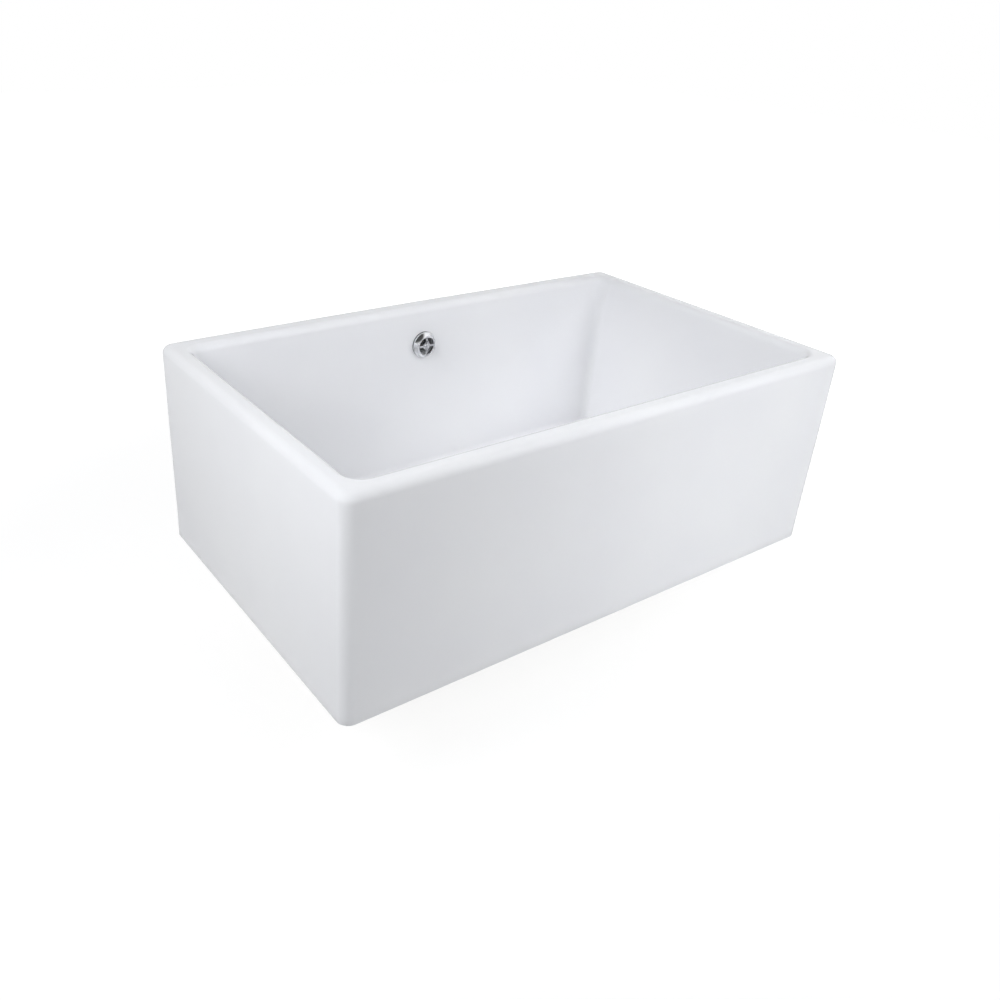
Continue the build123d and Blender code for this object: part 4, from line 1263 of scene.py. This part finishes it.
def softened(name, node, material, width):
    """A copy of a CAD node whose sharp edges are rounded."""
    work = bmesh.new()
    work.from_mesh(frame["nodes"][node].data)
    bmesh.ops.remove_doubles(work, verts=work.verts, dist=0.001 * MM)
    bmesh.ops.dissolve_limit(work, angle_limit=FLAT, verts=work.verts, edges=work.edges)
    sharp = [edge for edge in work.edges if edge.is_manifold and edge.calc_face_angle() > SHARP]
    bmesh.ops.bevel(
        work, geom=sharp, offset=width * MM, segments=2, profile=0.5,
        affect="EDGES", clamp_overlap=True
    )
    bmesh.ops.scale(work, vec=(1 / MM,) * 3, verts=work.verts)
    return new_piece(name, work, material, smooth=30)


MOULDINGS = {
    # The elbow's grey plastic is painted shade for the dark inside the rose's windows.
    "moulded_elbow": ("overflow_elbow", PAINTED_SHADE_POLYPROPYLENE),
    "upper_hose_nut": ("upper_nut", POLYPROPYLENE),
    "lower_hose_nut": ("lower_nut", POLYPROPYLENE),
}
for name, (node, plastic) in MOULDINGS.items():
    install(softened(name, node, plastic, MOULDED_ROUND), "sink", "white_plastic", node)

# %% Thread the waste's outlet
OUTLET_LENGTH = 30.0
THREAD_RADIUS = 23.9
THREAD_ROOT = 22.7
THREAD_PITCH = 2.9
THREAD_ENDS = 2.5  # plain length at each end
TURN_STEPS = 64
OUTLET_SLACK = 0.6  # points this near the outlet's radius are on it

outlet_end = low("waste_body").z


def thread_tree():
    """A tree that winds a ridge round the outlet: a small triangle drawn along a spiral."""
    inputs = {"Root": "Float", "Crest": "Float", "Pitch": "Float", "Turns": "Float"}
    tree, sizes = new_tree("outlet_thread", **inputs)
    sockets = {
        "Resolution": TURN_STEPS,
        "Rotations": sizes["Turns"],
        "Start Radius": sizes["Root"],
        "End Radius": sizes["Root"],
        "Height": product(tree, sizes["Turns"], sizes["Pitch"]),
    }
    spiral = add(tree, "GeometryNodeCurveSpiral", sockets)
    sockets = {"Geometry": spiral, "Translation": (0, 0, (outlet_end + THREAD_ENDS) * MM)}
    lifted = add(tree, "GeometryNodeTransform", sockets)
    ridge = add(tree, "GeometryNodeCurvePrimitiveCircle", {"Resolution": 3, "Radius": 1.0})
    sockets = {0: sizes["Crest"], 1: sizes["Root"]}
    height = add(tree, "ShaderNodeMath", sockets, operation="SUBTRACT")
    sockets = {"Curve": lifted, "Profile Curve": ridge, "Scale": height, "Fill Caps": True}
    both = add(tree, "GeometryNodeJoinGeometry", {"Geometry": sizes["Geometry"]})
    feed(tree, both, {"Geometry": add(tree, "GeometryNodeCurveToMesh", sockets)})
    end_tree(tree, both, POLYPROPYLENE)
    return tree


def at_outlet(point):
    """Whether a point lies on the outside of the plain outlet."""
    near = abs(math.hypot(point.x, point.y) / MM - THREAD_RADIUS) < OUTLET_SLACK
    return near and point.z < (outlet_end + OUTLET_LENGTH + 0.1) * MM


body = softened("moulded_waste_body", "waste_body", POLYPROPYLENE, MOULDED_ROUND)
for vertex in body.data.vertices:
    if at_outlet(vertex.co):
        vertex.co.xy *= (THREAD_ROOT - THREAD_RADIUS) / math.hypot(*vertex.co.xy) * MM + 1
body = grow(
    body, thread_tree(), Root=THREAD_ROOT * MM, Crest=THREAD_RADIUS * MM, Pitch=THREAD_PITCH * MM,
    Turns=(OUTLET_LENGTH - 2 * THREAD_ENDS) / THREAD_PITCH
)
install(body, "sink", "white_plastic", "waste_body")

# %% [markdown]
# ## Finishes for the other pieces
#
# Seals, washers, inserts, spacer and bolt have their true shape in the frame already. They keep it,
# and get the finish of the slot that the record names for them.

# %% Finish the carried-over pieces
replaced = {node for piece in bpy.data.objects for node in piece.get("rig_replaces", [])}
for name, node in frame["nodes"].items():
    slot = node.data.materials[0].name
    if name not in replaced:
        node.material_slots[0].material = FINISHES[slot]

# %% [markdown]
# ## Studio
#
# A product photograph like this one is taken on white, in very soft light, so that the few shades
# of grey come from the bowl's own shape. The white is only what the camera, a mirror or glass sees
# of floor and world. What lights the bowl is the world's weak light and the lamps, at a level where
# the glaze stays just below white.

# %% White floor
FLOOR_HALF = 6.0  # metres
FLOOR_GAP = 0.5
FADE = (0.75, 1.6)  # metres from the middle: the floor with a shadow ends, plain white begins
NEAR_WHITE = 0.86  # the floor's own glow where the shadow falls
MIRRORED_FLOOR = 0.6


def seen_rays(tree):
    """1 for rays from the camera, a mirror or glass, and 0 for rays that only carry light."""
    rays = add(tree, "ShaderNodeLightPath").outputs
    sockets = {0: rays["Is Camera Ray"], 1: rays["Is Glossy Ray"]}
    opaque = add(tree, "ShaderNodeMath", sockets, operation="MAXIMUM")
    sockets = {0: opaque, 1: rays["Is Transmission Ray"]}
    return add(tree, "ShaderNodeMath", sockets, operation="MAXIMUM")


def floor_material():
    """Pale for the light that it sends on, and white with a faint shadow where it is seen."""
    material = bpy.data.materials.new("pale_floor")
    material.use_nodes = True
    tree = material.node_tree
    tree.nodes.clear()
    place = add(tree, "ShaderNodeTexCoord").outputs["Object"]
    distance = add(tree, "ShaderNodeVectorMath", {0: place}, operation="LENGTH")
    sockets = {"Value": distance, 1: FADE[0], 2: FADE[1], 3: NEAR_WHITE, 4: 1.0}
    white = add(tree, "ShaderNodeMapRange", sockets)
    straight = add(tree, "ShaderNodeLightPath").outputs["Is Camera Ray"]
    sockets = {"Value": straight, 3: MIRRORED_FLOOR, 4: white}
    glow = add(tree, "ShaderNodeMapRange", sockets)
    pale = add(tree, "ShaderNodeBsdfDiffuse", {"Color": linear("#E6E6E6")})
    veil = add(tree, "ShaderNodeBsdfDiffuse", {"Color": linear("#7C7C7C")})
    light = add(tree, "ShaderNodeEmission", {"Color": linear("#FFFFFF"), "Strength": glow})
    shown = add(tree, "ShaderNodeAddShader", {0: veil, 1: light})
    both = add(tree, "ShaderNodeMixShader", {0: seen_rays(tree), 1: pale, 2: shown})
    add(tree, "ShaderNodeOutputMaterial", {"Surface": both})
    return material


def studio_floor():
    """A large square just under the lowest piece."""
    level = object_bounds()[0].z - FLOOR_GAP * MM
    signs = ((-1, -1), (1, -1), (1, 1), (-1, 1))
    mesh = bpy.data.meshes.new("floor")
    corners = [(x * FLOOR_HALF, y * FLOOR_HALF, level) for x, y in signs]
    mesh.from_pydata(corners, [], [(0, 1, 2, 3)])
    mesh.materials.append(floor_material())
    floor = bpy.data.objects.new("floor", mesh)
    bpy.context.scene.collection.objects.link(floor)
    floor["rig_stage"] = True
    return floor


print("floor at", round(studio_floor().data.vertices[0].co.z / MM, 1), "mm")

# %% [markdown]
# A mirror needs something dark to show, or it turns into white paint. In a real studio that is the
# room behind the camera. So the world is white all round for the camera, but a mirrored ray that
# goes back over the camera's side meets a dark room, with a soft edge. Towards the horizon the
# mirrored white gets greyer, which draws the outline of the back rim against the white behind it.
# Both are fixed in the world, so they stay where they are when another camera looks at the object.

# %% World
AMBIENT = 0.1
ROOM_SIDE = Vector((-0.38, -0.50, 0.78)).normalized()
ROOM_EDGE = (0.55, 0.88)  # cosines of the angle to its middle, at its edge and where it is darkest
ROOM_DARKEST = 0.08
HORIZON = (0.6, 0.5)  # the share of white mirrored at the horizon, and the height of full white


def studio_world():
    """White where it is seen, a dark room for mirrors on one side, and a weak even light."""
    world = bpy.data.worlds.new("studio")
    world.use_nodes = True
    tree = world.node_tree
    tree.nodes.clear()
    way = add(tree, "ShaderNodeTexCoord").outputs["Generated"]
    towards = add(tree, "ShaderNodeVectorMath", {0: way, 1: ROOM_SIDE}, operation="DOT_PRODUCT")
    sockets = {"Value": towards, 1: ROOM_EDGE[0], 2: ROOM_EDGE[1], 3: 1.0, 4: ROOM_DARKEST}
    room = add(tree, "ShaderNodeMapRange", sockets, interpolation_type="SMOOTHSTEP")
    height = add(tree, "ShaderNodeSeparateXYZ", {0: way}).outputs[2]
    sockets = {"Value": height, 2: HORIZON[1], 3: HORIZON[0], 4: 1.0}
    backdrop = add(tree, "ShaderNodeMapRange", sockets)
    straight = add(tree, "ShaderNodeLightPath").outputs["Is Camera Ray"]
    sockets = {0: straight, 1: product(tree, room, backdrop)}
    shown = add(tree, "ShaderNodeMath", sockets, operation="MAXIMUM")
    sockets = {"Value": seen_rays(tree), 3: AMBIENT, 4: shown}
    strength = add(tree, "ShaderNodeMapRange", sockets)
    sockets = {"Color": linear("#FFFFFF"), "Strength": strength}
    add(tree, "ShaderNodeOutputWorld", {"Surface": add(tree, "ShaderNodeBackground", sockets)})
    bpy.context.scene.world = world


studio_world()

# %% [markdown]
# Most lamps are large and far off, which makes their light soft. One stands close on the left, so
# the left wall is brightest at its near edge. Three have a grid before them, which narrows their
# light: they lift the middle and the right of the apron and the basin, and leave the apron's left
# end darker, as in the photograph. No lamp shows in a mirror: on a glaze this pale its image would
# only burn out to white, so the world's soft white is what the gloss shows.

# %% Lamps
LAMP_COLOUR = "#FAFCFF"
MIDDLE = (0, 0, 0.15)
# Each lamp stands somewhere and aims somewhere, in metres. Then come its size in metres, its watts,
# and how far its light spreads, in degrees.
LAMPS = {
    "back_right": ((2.2, 1.25, 0.8), MIDDLE, 1.4, 40.0, 180),
    "behind": ((0.0, 2.5, 0.8), MIDDLE, 1.4, 11.0, 180),
    "front_right": ((1.0, -1.7, 1.8), MIDDLE, 1.4, 22.5, 180),
    "front_left": ((-1.0, -1.7, 1.8), MIDDLE, 1.4, 4.9, 180),
    "left": ((-1.2, -0.1, 0.9), MIDDLE, 0.6, 8.9, 180),
    "low_apron_grid": ((1.5, -1.3, 0.4), (0.1, -0.23, 0.14), 0.5, 0.26, 30),
    "high_apron_grid": ((0.4, -1.7, 1.2), (0.2, -0.23, 0.2), 0.5, 0.22, 30),
    "basin_grid": ((-1.6, -0.8, 1.8), (0.35, 0, 0.1), 0.5, 0.32, 25),
}


def softbox(name, place, aim, size, power, spread_angle):
    """A square lamp that faces a point."""
    data = bpy.data.lights.new(name, "AREA")
    data.size = size
    data.energy = power
    data.spread = math.radians(spread_angle)
    data.color = linear(LAMP_COLOUR)[:3]
    lamp = bpy.data.objects.new(name, data)
    lamp.visible_glossy = False
    bpy.context.scene.collection.objects.link(lamp)
    turn = (Vector(aim) - Vector(place)).to_track_quat("-Z", "Y").to_matrix().to_4x4()
    lamp.matrix_world = Matrix.Translation(place) @ turn
    return lamp


for name, settings in LAMPS.items():
    softbox(name, *settings)
bpy.context.scene.view_settings.view_transform = "Standard"
print("lamps", len(LAMPS))
